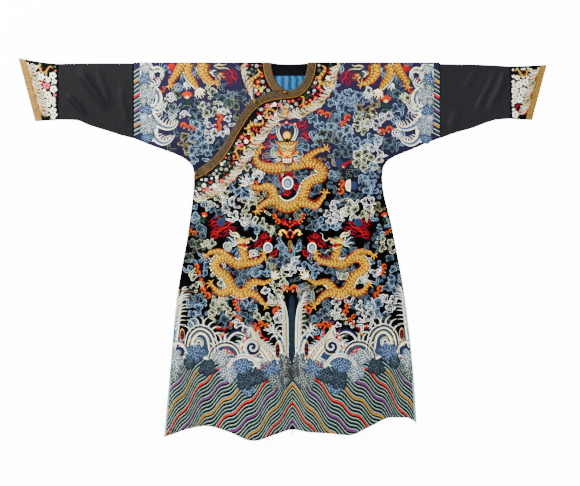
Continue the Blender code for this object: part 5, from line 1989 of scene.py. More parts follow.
def crest(path, half, fingers, colours=WAVE, level=0.3):
    """A crest: rows of stitch along a path, with fingers of foam. Each finger is the share of the way along
    the path, and the step from there to its tip."""
    made = [ribbon(path, half, strands(colours), 24, level)]
    places = along_lines(path, 101)
    for share, dx, dy in fingers:
        base = places[int(share * 100)]
        made.append(finger(base, base + np.array([dx, dy]) * 1.2, 1.3, 0.5 if dx > 0 else -0.5, level + 0.1))
    return made


def water_spiral(at, outer, turns, start, way=1, fill=None, half=1.5, level=0.4):
    """A rolled wave: a pale band that winds into a blue disc."""
    fill = MID_BLUE if fill is None else fill
    made = [disc(
        at, outer + half, [(1, -1, WHITE), (0.92, 0.6, CREAM), (0.8, 0.5, fill), (0.3, 0.5, DEEP_BLUE)], 22,
        level=level - 0.2,
    )]
    path = spiral(at, outer, half * 0.7, turns * way, start, 26)
    made.append(ribbon(
        path, [half, half, half * 0.9, half * 0.6], strands((WHITE, PALE_BLUE, WHITE), 0.8), 36, level,
    ))
    return made


# %% Foam and jewels, and the cut at the seams
def foam(at, wide, tall, silks, level=0.7, size=2.9):
    """A heap of foam: curls set round a centre like the seeds of a sunflower, on a bed of the darker
    silk."""
    n = max(7, int(wide * tall / size**2 * 1.15))
    k = np.arange(n)
    r, a = np.sqrt((k + 0.3) / n) * 0.97, k * 2.39996
    x, y = at[0] + (wide - size * 0.5) * r * np.cos(a), at[1] + (tall - size * 0.5) * r * np.sin(a)
    made = [disc(
        at, wide * 0.88, [(1, -1, silks.fill), (0.93, 0.3, silks.fill), (0.8, 0.4, silks.fill)], 20,
        tall / wide, level=level - 0.2,
    )]
    for i in range(n):
        made += curl(x[i], y[i], size * 1.06, silks, 1 if i % 2 else -1, a[i] % 6.28, level)
    return made


def seam_reach(x, y):
    """How far the side seam is from the centre at a place, in steps."""
    return np.where(x < 0, half_width(y * STEP, "right"), half_width(y * STEP, "left")) / STEP


def inside_seams(drawings, room=0.8):
    """Drawings cut off at the side seams and the top fold: points beyond them move onto them."""
    cut = []
    for d in drawings:
        x, y = d.points.T
        side = seam_reach(x, y) - room
        cut.append(d._replace(points=np.stack([np.clip(x, -side, side), np.maximum(y, 0.9)], axis=-1)))
    return cut


FOAM_WHITE = Silks(paint(222, 224, 224), paint(134, 154, 168))
FOAM_BLUE = Silks(paint(184, 202, 212), paint(72, 104, 138))
FOAM_SLATE = Silks(paint(142, 162, 170), paint(36, 58, 78))
FOAM_GREY = Silks(paint(206, 210, 206), paint(96, 112, 122))
# Painted shade: a dimmer copy of the grey foam, for the heap in the shadow of the centre fold.
FOAM_IN_PAINTED_SHADE = Silks(paint(178, 180, 174), paint(74, 80, 88))


def jewels(places, size=1.0):
    """Small bright shapes tossed in the water: coral, scrolls and flames."""
    made = []
    for i, (x, y, shade) in enumerate(places):
        tip = 3.4 * size * toward(i * 1.3)
        made.append(ribbon(
            [(x, y) - tip, (x + tip[1] * 0.4, y - tip[0] * 0.4), (x, y) + tip], [0.4, 1.3 * size, 0.4],
            thread(shade, rise=1.0), 9, 0.7,
        ))
        made += [disc(
            (x + tip[1] * 0.7, y - tip[0] * 0.7), 0.9 * size, [(1, -1, CORAL), (0.6, 1.4, ORANGE)], 7,
            level=0.5,
        )]
    return made


# %% The waves of the skirt
ROLLED_DISC, LOW_DISC, GREY_BEDS_FROM = spot(279.4, 338.6), spot(178.6, 352), 250
BEADED_OVALS = ((277.6, 350, 9.0), (182.2, 335, 6.5))
SKIRT_BASE = px(
    (170, 353), (184, 348), (200, 347), (214, 353), (228, 354), (242, 352), (256, 349), (272, 355),
    (289.6, 353),
)
JEWEL_PLACES = px(
    (231, 354), (226, 350), (235, 356), (246, 331), (248, 337), (236, 336), (242, 340), (222, 334),
    (219, 327), (226, 330), (241, 350), (262, 366), (266, 362), (262, 334), (266, 340), (258, 329),
    (230, 324), (252, 322),
)
JEWEL_SILKS = (
    ORANGE, RED, PURPLE, PURPLE, RED, LAVENDER, CORAL, OCHRE, RED, CRIMSON, OCHRE, CRIMSON, OCHRE, CORAL,
    RED, ORANGE, ORANGE, PURPLE,
)
SKIRT_BEDS = (
    (
        px((174, 357), (172, 348), (180, 339), (190, 331), (200, 328), (210, 332), (215, 343), (213, 355)),
        (195, 348),
    ),
    (px((213, 358), (212, 351), (218, 346), (228, 345), (237, 349), (240, 357)), (226, 353)),
    (
        px(
            (238, 364), (242, 354), (246, 342), (251, 332), (256, 339), (264, 347), (272, 352), (280, 357),
            (276, 366),
        ),
        (256, 355),
    ),
    (px((280, 368), (281, 350), (285, 332), (289, 320), (290.4, 340), (290.4, 370)), (286, 350)),
)
SKIRT_WAVES = (
    (
        crest, px((171, 354), (174, 336), (177, 318), (179.6, 303), (182.4, 292)),
        [4.6, 4.2, 3.4, 2.4, 0.8],
        [(1.0 - 0.062 * k, 4 + 1.2 * min(k, 4) + 0.8 * (k % 2), -4.6 - 0.5 * (k % 3)) for k in range(12)],
    ),
    (
        crest,
        px((285.6, 360), (285.6, 340), (285.4, 322), (284, 308), (280.4, 298)),
        [3.2, 3.4, 3.2, 2.4, 0.8],
        [(1.0 - 0.064 * k, -3.4 - 1.0 * min(k, 3) - 0.8 * (k % 2), -4.4 - 0.5 * (k % 3)) for k in range(13)],
        (WHITE, CREAM, GREY_SHADE, WHITE, PALE_BLUE, CREAM),
    ),
    (
        crest, px((226, 340), (232, 333.6), (239, 331.4), (246, 335)), [0.8, 2.0, 2.0, 0.8], [],
        (WHITE, MID_BLUE, DEEP_BLUE), 0.35,
    ),
    (
        crest, px((186, 348), (189.4, 334), (199, 327), (210, 331.4), (215.4, 343), (216.4, 356)),
        [1.8, 2.4, 2.6, 2.6, 2.3, 1.6],
        [
            (0.22, -6, -6), (0.3, -6, -8), (0.37, -4, -9), (0.44, -1, -9), (0.5, 3, -9), (0.56, 7, -7),
            (0.62, 9, -4), (0.69, 9, -1),
        ],
        DEEP_WAVE, 0.4,
    ),
    (
        crest, px((190.4, 352), (192.6, 339), (200, 332.6), (207.6, 337.6), (210, 352)),
        [1.6, 1.9, 2.0, 1.9, 1.4], [], (WHITE, CREAM, SLATE), 0.45,
    ),
    (water_spiral, spot(198.4, 343), 4.4, 1.5, 3.4, -1, SLATE, 1.2, 0.6),
    (
        crest, px((208.6, 360), (212.6, 350), (220.6, 344), (229, 343.4), (236.4, 347.6), (242, 358)),
        [1.6, 2.2, 2.4, 2.4, 2.0, 1.4],
        [(0.25, -7, -4), (0.32, -6, -7), (0.39, -4, -9), (0.46, -1, -9.6), (0.53, 2, -8.6), (0.6, 5, -7)],
        DEEP_WAVE, 0.5,
    ),
    (
        crest, px((214, 360), (218.6, 351.6), (226, 349), (233, 352.4), (236, 360)),
        [1.2, 1.6, 1.7, 1.6, 1.0], [], (CREAM, DEEP_BLUE, MID_BLUE), 0.55,
    ),
    (
        crest, px((240, 352), (240.6, 344.6), (244, 338.6), (248.4, 334), (250.2, 326)),
        [0.8, 1.6, 1.7, 1.3, 0.4], [(0.45, -4, -3), (0.3, -4.6, -1.6)], (WHITE, CREAM, PALE_BLUE), 0.5,
    ),
    (
        crest, px((250.4, 326), (255, 336), (260.6, 345), (267, 353), (273, 362)),
        [0.7, 2.6, 4.4, 5.4, 5.0], [(0.5, 5, -5), (0.6, 6, -6), (0.7, 6, -7), (0.8, 6, -8)],
        (WHITE, GREY_SHADE, CREAM, WHITE, GREY_SHADE, CREAM, SLATE, WHITE), 0.45,
    ),
    (
        crest, px((250, 366), (258, 363), (267, 358), (274, 349)), [2.0, 2.4, 2.2, 0.8], [],
        (WHITE, PALE_BLUE, CREAM), 0.4,
    ),
    (water_spiral, spot(252.6, 347), 7.8, 1.45, 2.0, 1, DEEP_BLUE, 1.25, 0.95),
    (
        crest, px((284.6, 354), (281.6, 342), (276.6, 334), (270.6, 328.6)), [3.0, 3.0, 2.4, 0.8],
        [
            (0.98, -3, -3), (0.9, -1, -6), (0.8, 1, -7), (0.68, 3, -6.6), (0.82, -6, -1), (0.7, -7, 1),
            (0.56, -7, 3), (0.55, 4, -5),
        ],
        WAVE, 0.5,
    ),
)
FRONT_CRESTS = (
    (
        crest, px((227, 368), (234, 359), (243.6, 355.6), (252.4, 358.6), (260, 368)),
        [1.4, 2.0, 2.2, 2.0, 1.4], [], (WHITE, CREAM, PALE_BLUE, WHITE), 0.9,
    ),
    (
        crest, px((168.6, 350), (175, 342.6), (183, 344.6), (188.4, 355)), [1.4, 2.0, 2.0, 1.0], [],
        (WHITE, CREAM, MID_BLUE), 0.8,
    ),
)
# The heaps at the centre of the hem take the grey foam and its dimmer copy as painted shade of the centre
# fold.
SKIRT_HEAPS = (
    (176, 360, 8.0, 11, FOAM_WHITE), (175, 373, 7.0, 8.0, FOAM_GREY), (195, 353, 11, 10, FOAM_BLUE),
    (207.6, 368, 9.4, 9.0, FOAM_SLATE), (190, 363, 6, 6, FOAM_SLATE), (221, 357, 11.4, 9.0, FOAM_WHITE),
    (229, 373, 10, 9.8, FOAM_WHITE), (241.6, 365.6, 12.4, 9.4, FOAM_BLUE), (259, 376, 9, 8.4, FOAM_SLATE),
    (246.4, 380, 10.6, 10.4, FOAM_SLATE), (248.4, 389, 7.4, 5.4, FOAM_BLUE),
    (270, 368.6, 10.6, 10.4, FOAM_BLUE), (284.6, 364, 6.8, 11, FOAM_GREY),
    (279, 380.6, 11.6, 9.6, FOAM_GREY), (288, 372, 5.0, 12, FOAM_IN_PAINTED_SHADE),
)


# %% The skirt's water, drawn
def skirt_water():
    """The wearer's right half of the water above the stripes."""
    colours = (WHITE, PALE_BLUE, CREAM, MID_BLUE, PALE_BLUE, WHITE, SLATE, CREAM, PALE_BLUE)
    made = [ribbon(SKIRT_BASE, [9, 10, 10, 9, 9, 10, 11, 9, 10], strands(colours, 0.2), 34, -0.05)]
    for outline, centre in SKIRT_BEDS:
        bed = GREY_SHADE if centre[0] > GREY_BEDS_FROM else SLATE
        made.append(patch(outline, [(1, -1, SLATE), (0.9, 0.2, bed), (0.4, 0.2, MID_BLUE)], spot(*centre)))
    for draw, *values in SKIRT_WAVES:
        made += draw(*values)
    made.append(disc(
        ROLLED_DISC, 2.8, [(1, -1, WHITE), (0.75, 0.9, DEEP_BLUE), (0.4, 1.0, MID_BLUE)], 12, 0.8,
        level=0.8,
    ))
    for x, y, tall in BEADED_OVALS:
        made.append(disc(
            spot(x, y), 2.6, [(1, -1, CREAM), (0.75, 1.1, DEEP_BLUE), (0.4, 1.2, BLACK)], 14, tall / 2.6,
            level=0.9,
        ))
        made += [
            placed(d, level=1.4)
            for d in beads(
                px((x, y - tall * 0.66), (x, y - tall * 0.22), (x, y + tall * 0.22), (x, y + tall * 0.66)),
                RED, 1.1,
            )
        ]
    for draw, *values in FRONT_CRESTS:
        made += draw(*values)
    made.append(disc(
        LOW_DISC, 6.4, [(1, -1, DEEP_BLUE), (0.8, 0.6, DEEP_BLUE), (0.4, 0.6, MID_BLUE)], 14, 1.0,
        level=0.5,
    ))
    made += jewels([(*p, shade) for p, shade in zip(JEWEL_PLACES, JEWEL_SILKS)])
    for k, (x, y, wide, tall, silks) in enumerate(SKIRT_HEAPS):
        made += foam(spot(x, y), wide, tall, silks, 0.8 + 0.12 * (k % 5))
    return made


water = skirt_water()
water_right = inside_seams(mirrored(water, (5.0, -1.0)))
water = inside_seams(water)
CENTRE_BED = px((289, 300), (292, 294), (295, 300), (296, 350), (291.8, 366), (287.4, 350))
CENTRE_BED_MIDDLE = spot(291.8, 335)
CHEVRON_ACROSS, CHEVRONS = 291.2, (300, 309, 317, 324, 331, 338, 345, 352)
bed = [(1, -1, DEEP_BLUE), (0.9, 0.3, DEEP_BLUE), (0.5, 0.3, TEAL * 0.6)]
centre_water = [patch(CENTRE_BED, bed, CENTRE_BED_MIDDLE)]
for k, y in enumerate(CHEVRONS):
    half = 2.0 + 0.35 * k
    path = px((CHEVRON_ACROSS - half, y + 3.4), (CHEVRON_ACROSS, y), (CHEVRON_ACROSS + half, y + 3.4))
    centre_water.append(ribbon(
        path, [0.3, 1.0, 0.3], thread(SLATE if k % 2 else MID_BLUE, DEEP_BLUE, 0.8), 11, 0.2,
    ))
print("water:", sum(len(d.faces) for d in water), "triangles a side")

# %% Deep-water stripes
PALE_GREEN, DEEP_TEAL, GREY_BLUE = paint(204, 212, 206), paint(18, 46, 64), paint(136, 158, 170)
STRIPE_PATTERN = ((None, 2.35), (PALE_GREEN, 0.75), (DEEP_TEAL, 0.8), (GREY_BLUE, 0.45))
ACCENTS = (paint(228, 80, 40), paint(156, 84, 160), paint(212, 168, 70))
WATER_LINE = ((0, 0), (22, 29), (44, 53), (60, 64), (77, 78), (90, 89), (109, 116), (130, 143), (156, 176))


STRIPES_FROM, STRIPES_TOP, STRIPE_SCALE = 178.1, 303.0, 0.931


def stripe_table(total, first_accent, cycles=4):
    """Rows of (start, end, colour) for stripes down a band, with a bright one after every few cycles. The
    dark stripes are the ground itself."""
    rows, at, n = [], 0.0, 0
    while at < total:
        rows.append((at - 0.1, at + 1.9, ACCENTS[(first_accent + n) % 3]))
        at += 1.7
        for _ in range(cycles):
            for shade, width in STRIPE_PATTERN:
                if shade is not None:
                    rows.append((at, at + width * STRIPE_SCALE, shade))
                at += width * STRIPE_SCALE
        n += 1
    return rows


def deep_water(side):
    """The stripes of one half of the skirt, as ribbons whose lines each end exactly on the hem or the side
    seam."""
    sign = SIGN[side]
    out = np.linspace(0.0, 150.0, 3001)
    fall = curve(out, [row[0] for row in WATER_LINE], [row[1] for row in WATER_LINE])
    made = []
    for start, end, shade in stripe_table(236, 0):
        wide = end - start
        rows = []
        for place, rise in ((0.0, SINK), (0.22, 0.45), (0.5, 0.6), (0.78, 0.45), (1.0, SINK)):
            level = STRIPES_FROM + start + wide * place
            y = level + fall + 2.0 * np.sin(out / 3.1 + level * 0.05) * np.clip(out / 12, 0, 1)
            x = seam_line(y * STEP) / STEP + sign * out
            side_x = half_width(y * STEP, side) / STEP
            share = np.clip(x / side_x, -1, 1)
            hem = read(HEM, "share", "below", share) / STEP
            top = STRIPES_TOP - 10.0 * np.clip(out / 110, 0, 1) ** 2 - 4 * np.clip((out - 100) / 20, 0, 1)
            good = np.flatnonzero((y > top) & (y < hem - 0.25) & (np.abs(x) < side_x - 0.3))
            rows.append((good[0], good[-1], x, y, rise) if len(good) > 40 else None)
        if any(row is None for row in rows):
            continue
        count = int(np.clip((rows[2][1] - rows[2][0]) / 44, 8, 64))
        points, heights = [], []
        for first, last, x, y, rise in rows:
            at = np.linspace(first, last, count).round().astype(int)
            points.append(np.stack([x[at], y[at]], axis=-1))
            heights.append(np.full(count, rise))
        points, heights = np.stack(points, axis=1), np.stack(heights, axis=1)
        faces = triangles(grid_faces(count, 5))
        flat = points.reshape(-1, 2)
        colour = np.tile(shade, (len(flat), 1))
        made.append(Drawing(
            flat, heights.ravel(), colour, flat[:, ::-1] / STEPS, faces if sign < 0 else faces[:, ::-1],
        ))
    return made


stripes = {side: deep_water(side) for side in ("right", "left")}
print("stripes:", [len(v) for v in stripes.values()])

# %% The water that ends the upper sleeves
SLEEVE_SEAM = -155.9
SLEEVE_JEWELS = px((160, 92), (163, 89), (154, 78))
SLEEVE_BEDS = (
    (
        px((140, 63), (150, 63), (153, 74), (152, 88), (155, 97), (151, 108), (146, 112), (140, 108)),
        (146, 88),
    ),
    (px((140, 106), (151, 108), (156, 119), (158, 130), (157, 141), (149, 142), (141, 132)), (147, 124)),
)
SLEEVE_WAVES = (
    (
        crest, px((148, 64), (152, 70), (157.6, 68.6), (162, 72), (163.4, 77)), [3.0, 3.2, 2.6, 2.0, 0.7],
        [(0.3, -1, 8), (0.42, 0, 8), (0.55, 0.4, 8), (0.68, 0.6, 7), (0.8, 0, 6)],
    ),
    (
        crest, px((150, 93), (153, 87), (157, 84.6), (160.6, 80)), [3.4, 3.0, 2.0, 0.7],
        [(0.35, -5, -4), (0.5, -4, -5), (0.65, -2.6, -6), (0.8, -1.4, -5)],
    ),
    (crest, px((152, 86), (157.4, 92), (159, 99), (156, 106), (150, 109)), [2.2, 3.0, 3.4, 3.0, 2.4], []),
    (
        crest, px((151, 106), (156.6, 110), (162, 108.4), (167, 102)), [3.0, 3.0, 2.2, 0.6],
        [
            (0.3, -1, -7), (0.42, 0, -7.6), (0.54, 0.4, -7.6), (0.66, 0.8, -6.6), (0.78, 0.6, -5),
            (0.6, 4, 3), (0.45, 3, 4),
        ],
    ),
    (
        crest, px((151, 113), (158, 123), (167, 127.4), (174, 126), (178, 120.6)),
        [3.2, 3.8, 2.8, 2.0, 0.7],
        [
            (0.2, 4, -6.6), (0.3, 2.6, -7.6), (0.4, 1.6, -7.6), (0.5, 1.2, -7.4), (0.6, 1.2, -6.8),
            (0.7, 1, -6), (0.8, 1, -5),
        ],
    ),
    (
        crest, px((152, 126), (155, 137), (162, 142.6), (169, 141), (174.6, 135)),
        [3.6, 3.6, 2.8, 2.0, 0.7],
        [(0.3, 5, -4), (0.42, 4, -5.6), (0.54, 3, -6), (0.66, 2.4, -6), (0.78, 1.6, -5)],
    ),
)
SLEEVE_HEAPS = (
    (145.6, 68, 6.2, 5.2, FOAM_WHITE), (145.4, 79, 6.6, 8.6, FOAM_BLUE), (148, 95, 8.6, 9.6, FOAM_WHITE),
    (144.4, 86.6, 5, 4.4, FOAM_GREY), (145.4, 109.6, 6.8, 7.2, FOAM_BLUE), (143.4, 101, 4.4, 4, FOAM_GREY),
    (148.4, 125, 9.2, 9.4, FOAM_WHITE), (143.6, 117, 4.6, 4, FOAM_WHITE), (147.6, 137.6, 7, 4.6, FOAM_BLUE),
)


def sleeve_water():
    """Waves, foam and stripes at the end of the wearer's right upper sleeve."""
    made = []
    for outline, centre in SLEEVE_BEDS:
        made.append(patch(
            outline, [(1, -1, WHITE), (0.94, 0.4, WHITE), (0.7, 0.4, PALE_BLUE), (0.4, 0.4, CREAM)],
            spot(*centre),
        ))
    for draw, *values in SLEEVE_WAVES:
        made += draw(*values)
    for k, (x, y, wide, tall, silks) in enumerate(SLEEVE_HEAPS):
        made += foam(spot(x, y), wide, tall, silks, 0.6 + 0.1 * k, 2.5)
    made += jewels([(*p, shade) for p, shade in zip(SLEEVE_JEWELS, (OCHRE, ORANGE, CRIMSON))], 0.9)
    for start, end, shade in stripe_table(86, 1, 3):
        y = 6.0 + start * 1.06
        far = 8.6 + 4.2 * max(0.0, (y - 55) / 22)
        path = [(SLEEVE_SEAM, y), (SLEEVE_SEAM + far * 0.5, y - 2.9), (SLEEVE_SEAM + far, y - 5.6)]
        if 2.0 < y - 5.8 and y < 74.6:
            made.append(ribbon(path, [(end - start) * 0.5], thread(shade, rise=0.55), 6))
    return made


sleeve_end = sleeve_water()
sleeve_end_left = mirrored(sleeve_end, (-5.4, 0.8))
sleeve_clear = np.concatenate([
    clear_of(px((148, 66), (150, 84), (152, 100), (150, 120), (152, 140)), [7, 9, 10, 10, 10], 20),
    clear_of(px((156, 69), (163, 74)), [4, 4], 4), clear_of(px((155, 88), (161, 80)), [4, 3], 4),
    clear_of(px((156, 112), (164, 105)), [5, 3], 5), clear_of(px((158, 124), (178, 122)), [7, 4], 8),
    clear_of(px((156, 138), (174, 137)), [6, 4], 8), clear_of(px((136, 64), (138, 140)), [6, 8], 14),
])
sleeve_clear_left = sleeve_clear * [-1, 1, 1] + [-6.6, 0.8, 0]
print("sleeve water:", sum(len(d.faces) for d in sleeve_end), "triangles a side")

# %% [markdown]
# ## The ground
#
# Now the clouds can fill what is left of the blue ground. The colours of the clouds change down the robe:
# greens and tans near the shoulders, and clearer blues towards the water.

# %% Fill the ground with clouds, and lay the embroidery
WATER_TOP = (
    (0, 8, 14, 22, 32, 38, 44, 54, 64, 74, 86, 98, 106, 114),
    (234, 236, 268, 266, 276, 262, 276, 268, 272, 262, 258, 266, 230, 228),
)
BAND_FOOT = ((2, 6, 20, 34, 45, 56, 66, 78, 96, 130), (56, 57, 68, 84, 98, 114, 126, 135, 142, 142))
SHOULDER_EDGE = ((30, 42, 55, 64, 72, 84, 98), (28, 42, 66, 82, 94, 104, 108))
CLOUD_SIZES = ((7.6, 6000), (6.2, 6000), (5.0, 4000))
TINY_SIZES = ((3.4, 6000), (2.6, 8000), (2.1, 8000))
KNOT_PITCH, KNOT_RADIUS, CLOUD_GAP = 8.0, 4.9, 0.3
CLOUD_SPLIT, UNDERARM_ACROSS = 118, 0.3545
SEAM_FROM, SEAM_TO = 43.0, 372.6


def front_field(x, y, r):
    """True for places on the blue ground, inside the seams and outside the collar, its band and the
    water."""
    inside = (np.abs(x) + r * 1.05 < seam_reach(x, y)) & (y > 1.0 + r)
    water_top = np.interp(np.abs(x - 1), *WATER_TOP)
    collar = np.hypot(x / 50, y / 56.4) > 1.0 + r * 0.016
    band = np.interp(-x, *BAND_FOOT)
    on_front = np.where(x < -2, (y > band + r) & (x > -100), True)
    edge = np.interp(-x, *SHOULDER_EDGE)
    shoulder = (x < -36) & (y + r < edge - 3)
    plain = (np.abs(x) > 96) & (y > 84 + (np.abs(x) < 104) * 6) & (y < 120)
    return inside & collar & (y + r < water_top) & (on_front | shoulder) & ~plain


BOX = ((-150, 2), (150, 280))
clear_circles = np.concatenate([
    chest_clear, skirt_clear, skirt_clear_right, small_clear, shoulder_clear, shoulder_clear_left,
    sleeve_clear, sleeve_clear_left,
]) * (1, 1, 0.88)
centres = packed_circles(front_field, [], CLOUD_SIZES, BOX)[:, :2]
circles = cloud_knots(front_field, clear_circles, centres, KNOT_PITCH, KNOT_RADIUS, CLOUD_GAP)
taken = np.concatenate([clear_circles, circles[:, :3] * (1, 1, 0.8)])
tiny = packed_circles(front_field, taken, TINY_SIZES, BOX)
nearest = np.hypot(tiny[:, :1] - centres[:, 0], tiny[:, 1:2] - centres[:, 1]).argmin(axis=1)
circles = np.concatenate([circles, np.column_stack([tiny, nearest])])
height = np.clip(centres[:, 1] / 250, 0, 1)[:, None]
top_mix = np.array([0.10, 0.21, 0.32, 0.17, 0.08, 0.12])
low_mix = np.array([0.15, 0.36, 0.22, 0.05, 0.03, 0.19])
share = np.cumsum(top_mix * (1 - height) + low_mix * height, axis=1)
colours = (rng.random((len(centres), 1)) > share).sum(axis=1).clip(0, 5)
print("knots and curls:", len(circles), "in", len(centres), "clouds")


def any_top(x, below):
    """The height of whichever panel is on top: the outer front, the left half, or the right shoulder."""
    edge = np.interp(-x, [-row.edge_x for row in OVERLAP], [row.edge for row in OVERLAP])
    on_right = (x < 0) & (below < np.where(-x > UNDERARM_ACROSS, UNDERARM, edge))
    return np.where(on_right, right_top(x, below), front_top(x, below))


for name, mask in (("upper", circles[:, 1] < CLOUD_SPLIT), ("lower", circles[:, 1] >= CLOUD_SPLIT)):
    clouds = inside_seams(linked_clouds(circles[mask], centres, colours))
    stitched("embroidery_clouds_" + name, clouds, any_top, silk)
seam_down = np.linspace(SEAM_FROM, SEAM_TO, 110)
seam_path = np.stack([seam_line(seam_down * STEP) / STEP, seam_down], axis=-1)
seam_thread = [ribbon(seam_path, [0.42], line(BLACK, 0.35), 150)]
for side in SLEEVES:
    first = SLEEVES[side][0]
    out, top, low = [v / STEP for v in (first.out, first.top, first.low)]
    out *= SIGN[side]
    seam_thread.append(ribbon([(out, top + 0.8), (out, low - 0.6)], [0.5], line(BLACK, 0.6), 60))
stitched("embroidery_seam", seam_thread, front_top, silk)
stitched("embroidery_chest_dragon", chest, any_top, silk)
stitched("embroidery_skirt_dragons", skirt + skirt_right, any_top, silk)
stitched("embroidery_shoulders", inside_seams(shoulder + shoulder_left + small), any_top, silk)
stitched("embroidery_sleeve_water", sleeve_end + sleeve_end_left, any_top, silk)
stitched("embroidery_stripes", stripes["right"] + stripes["left"], front_top, silk)
stitched("embroidery_water", water + water_right + centre_water, front_top, silk)

# %% [markdown]
# ## Collar bands and cuffs
#
# These are black, and their embroidery is smaller and brighter: a pale wave runs along the outer edge,
# small gold dragons chase each other, and coral, crimson and white blossoms fill the rest.

# %% Small dragons for the collar and the cuffs
def small_dragon(at, turn, size, flip=False):
    """A small dragon, drawn as one curving gold line with a few legs and a red mouth."""
    path = [(-11, -2), (-7, -5), (-3, -2), (0, 3), (4, 5), (8, 2), (9, -3), (13, -5)]
    made = [ribbon(path, [0.4, 1.3, 2.0, 2.2, 2.2, 2.0, 2.2, 1.6], body_section(CREAM, RED), 34)]
    made += scale_rows(path, [0.4, 1.3, 2.0, 2.2, 2.2, 2.0, 2.2, 1.6], (0.0,), 2.0, 0.0)
    for x, y, a in ((-3, -2, 200), (0, 4, 120), (6, 5, 60), (8, -1, -20)):
        tip = 4.4 * toward(math.radians(a))
        made.append(ribbon(
            [(x, y), (x + tip[0] * 0.6 + 0.6, y + tip[1] * 0.6), (x + tip[0], y + tip[1])], [1.1, 0.8, 0.2],
            thread(GOLD_PALE, GOLD, 1.0), 7, 0.3,
        ))
    made.append(disc((13.4, -5), 2.6, [(1, -1, GOLD), (0.7, 1.6, GOLD_PALE)], 10, 0.8))
    made.append(ribbon([(13, -4), (15.6, -3), (17, -4.6)], [0.8, 0.8, 0.2], line(RED, 1.8), 6))
    made += tuft((12, -6), 230, 4, 6, (WHITE, SAGE), 0.5, 60, 0.5)
    return placed(merged(made), at, turn, size, flip)


# %% The broken wave along a band's edge
def wave_edge(path, half, side, pitch=4.4):
    """The broken wave along a band's outer edge: short crests that overlap like tiles, each with a few
    fingers, and small curls between them."""
    points, ahead, normal, _, run = read_along(path, [1, 1])
    pale = (
        (CREAM, SLATE, WHITE), (CREAM, SAGE, TAN), (WHITE, MID_BLUE, CREAM), (TAN, GREY_GREEN, CREAM),
        (CREAM, PINK, TAN),
    )
    made = []
    for k, i in enumerate(np.searchsorted(run, np.arange(1.5, run[-1] - 3, pitch))):
        a, n = ahead[i], normal[i] * side
        size = half * rng.uniform(0.8, 1.15)
        at = lambda along, over: points[i] + a * along + n * (over * size)
        path = [at(-2.0, -0.6), at(1, -0.7), at(3.6, -0.1), at(4.8, 0.8), at(3.6, 1.3)]
        made.append(ribbon(
            path, np.array([0.4, 0.7, 0.7, 0.45, 0.2]) * size * 0.5, strands(pale[k * 2 % 5], 1.1), 14,
            0.2 + 0.12 * (k % 3),
        ))
        for along, over, reach, lean in ((1.4, 0.0, 1.0, 1.4), (3.2, 0.4, 0.9, 1.8)):
            base = at(along, over)
            made.append(finger(base, base + n * reach * size * 0.9 + a * lean, 0.75, 0.4, 0.3))
        if k % 2:
            made += [
                placed(d, level=0.3)
                for d in curl(
                    *at(0, 0.5), 1.6, CLOUD_SILKS[(WHITE_CLOUD, BLUE_CLOUD, PALE_CLOUD)[k % 3]], 1, k,
                )
            ]
        if k % 4 == 1:
            made.append(disc(at(3, -0.2), 0.9, [(1, -1, RED), (0.7, 1.9, CORAL)], 7))
    return made


# %% Blossoms, and the work on a collar band
def blossom_field(circles, weights):
    """Blossoms, curls and leaves, one for each circle, in the colours of the black bands. weights says how
    often each of the six kinds comes."""
    made = []
    kinds = rng.choice(6, len(circles), p=weights)
    for (x, y, r), kind in zip(circles, kinds):
        turn = rng.uniform(0, 360)
        if kind < 3:
            petal, heart = ((WHITE, SAGE), (CORAL, CREAM), (PINK, RED))[kind]
            made.append(flower((x, y), turn, r / 2.5, petal, heart))
        elif kind == 3:
            made += curl(x, y, r, CLOUD_SILKS[(PALE_CLOUD, WHITE_CLOUD, GREEN_CLOUD)[int(turn) % 3]], 1, turn)
        else:
            silks = (RED, CRIMSON, CORAL) if kind == 4 else (SAGE, GOLD, PALE_BLUE, LEAF)
            shade = silks[int(turn) % len(silks)]
            leaf = ribbon(
                [(-r, r * 0.3), (0, -r * 0.5), (r, r * 0.4)], [r * 0.2, r * 0.5, r * 0.1], thread(shade), 7,
            )
            made.append(placed(leaf, (x, y), turn))
    return made


def between(near, far, start, end):
    """The middle line and half widths of a band between two shares of the way from near to far, in
    steps."""
    a, b = near + (far - near) * start, near + (far - near) * end
    return (a + b) / 2 / STEP, np.linalg.norm(b - a, axis=1) / 2 / STEP


BAND_SIZES = ((2.3, 6000), (1.7, 12000), (1.15, 18000))
BAND_KINDS = (0.16, 0.08, 0.07, 0.40, 0.17, 0.12)
CUFF_SIZES = ((3.5, 1500), (2.5, 3000), (1.7, 4000), (1.2, 4000))
CUFF_KINDS = {"right": (0.68, 0.06, 0.12, 0.04, 0.06, 0.04), "left": (0.84, 0.02, 0.08, 0.0, 0.04, 0.02)}


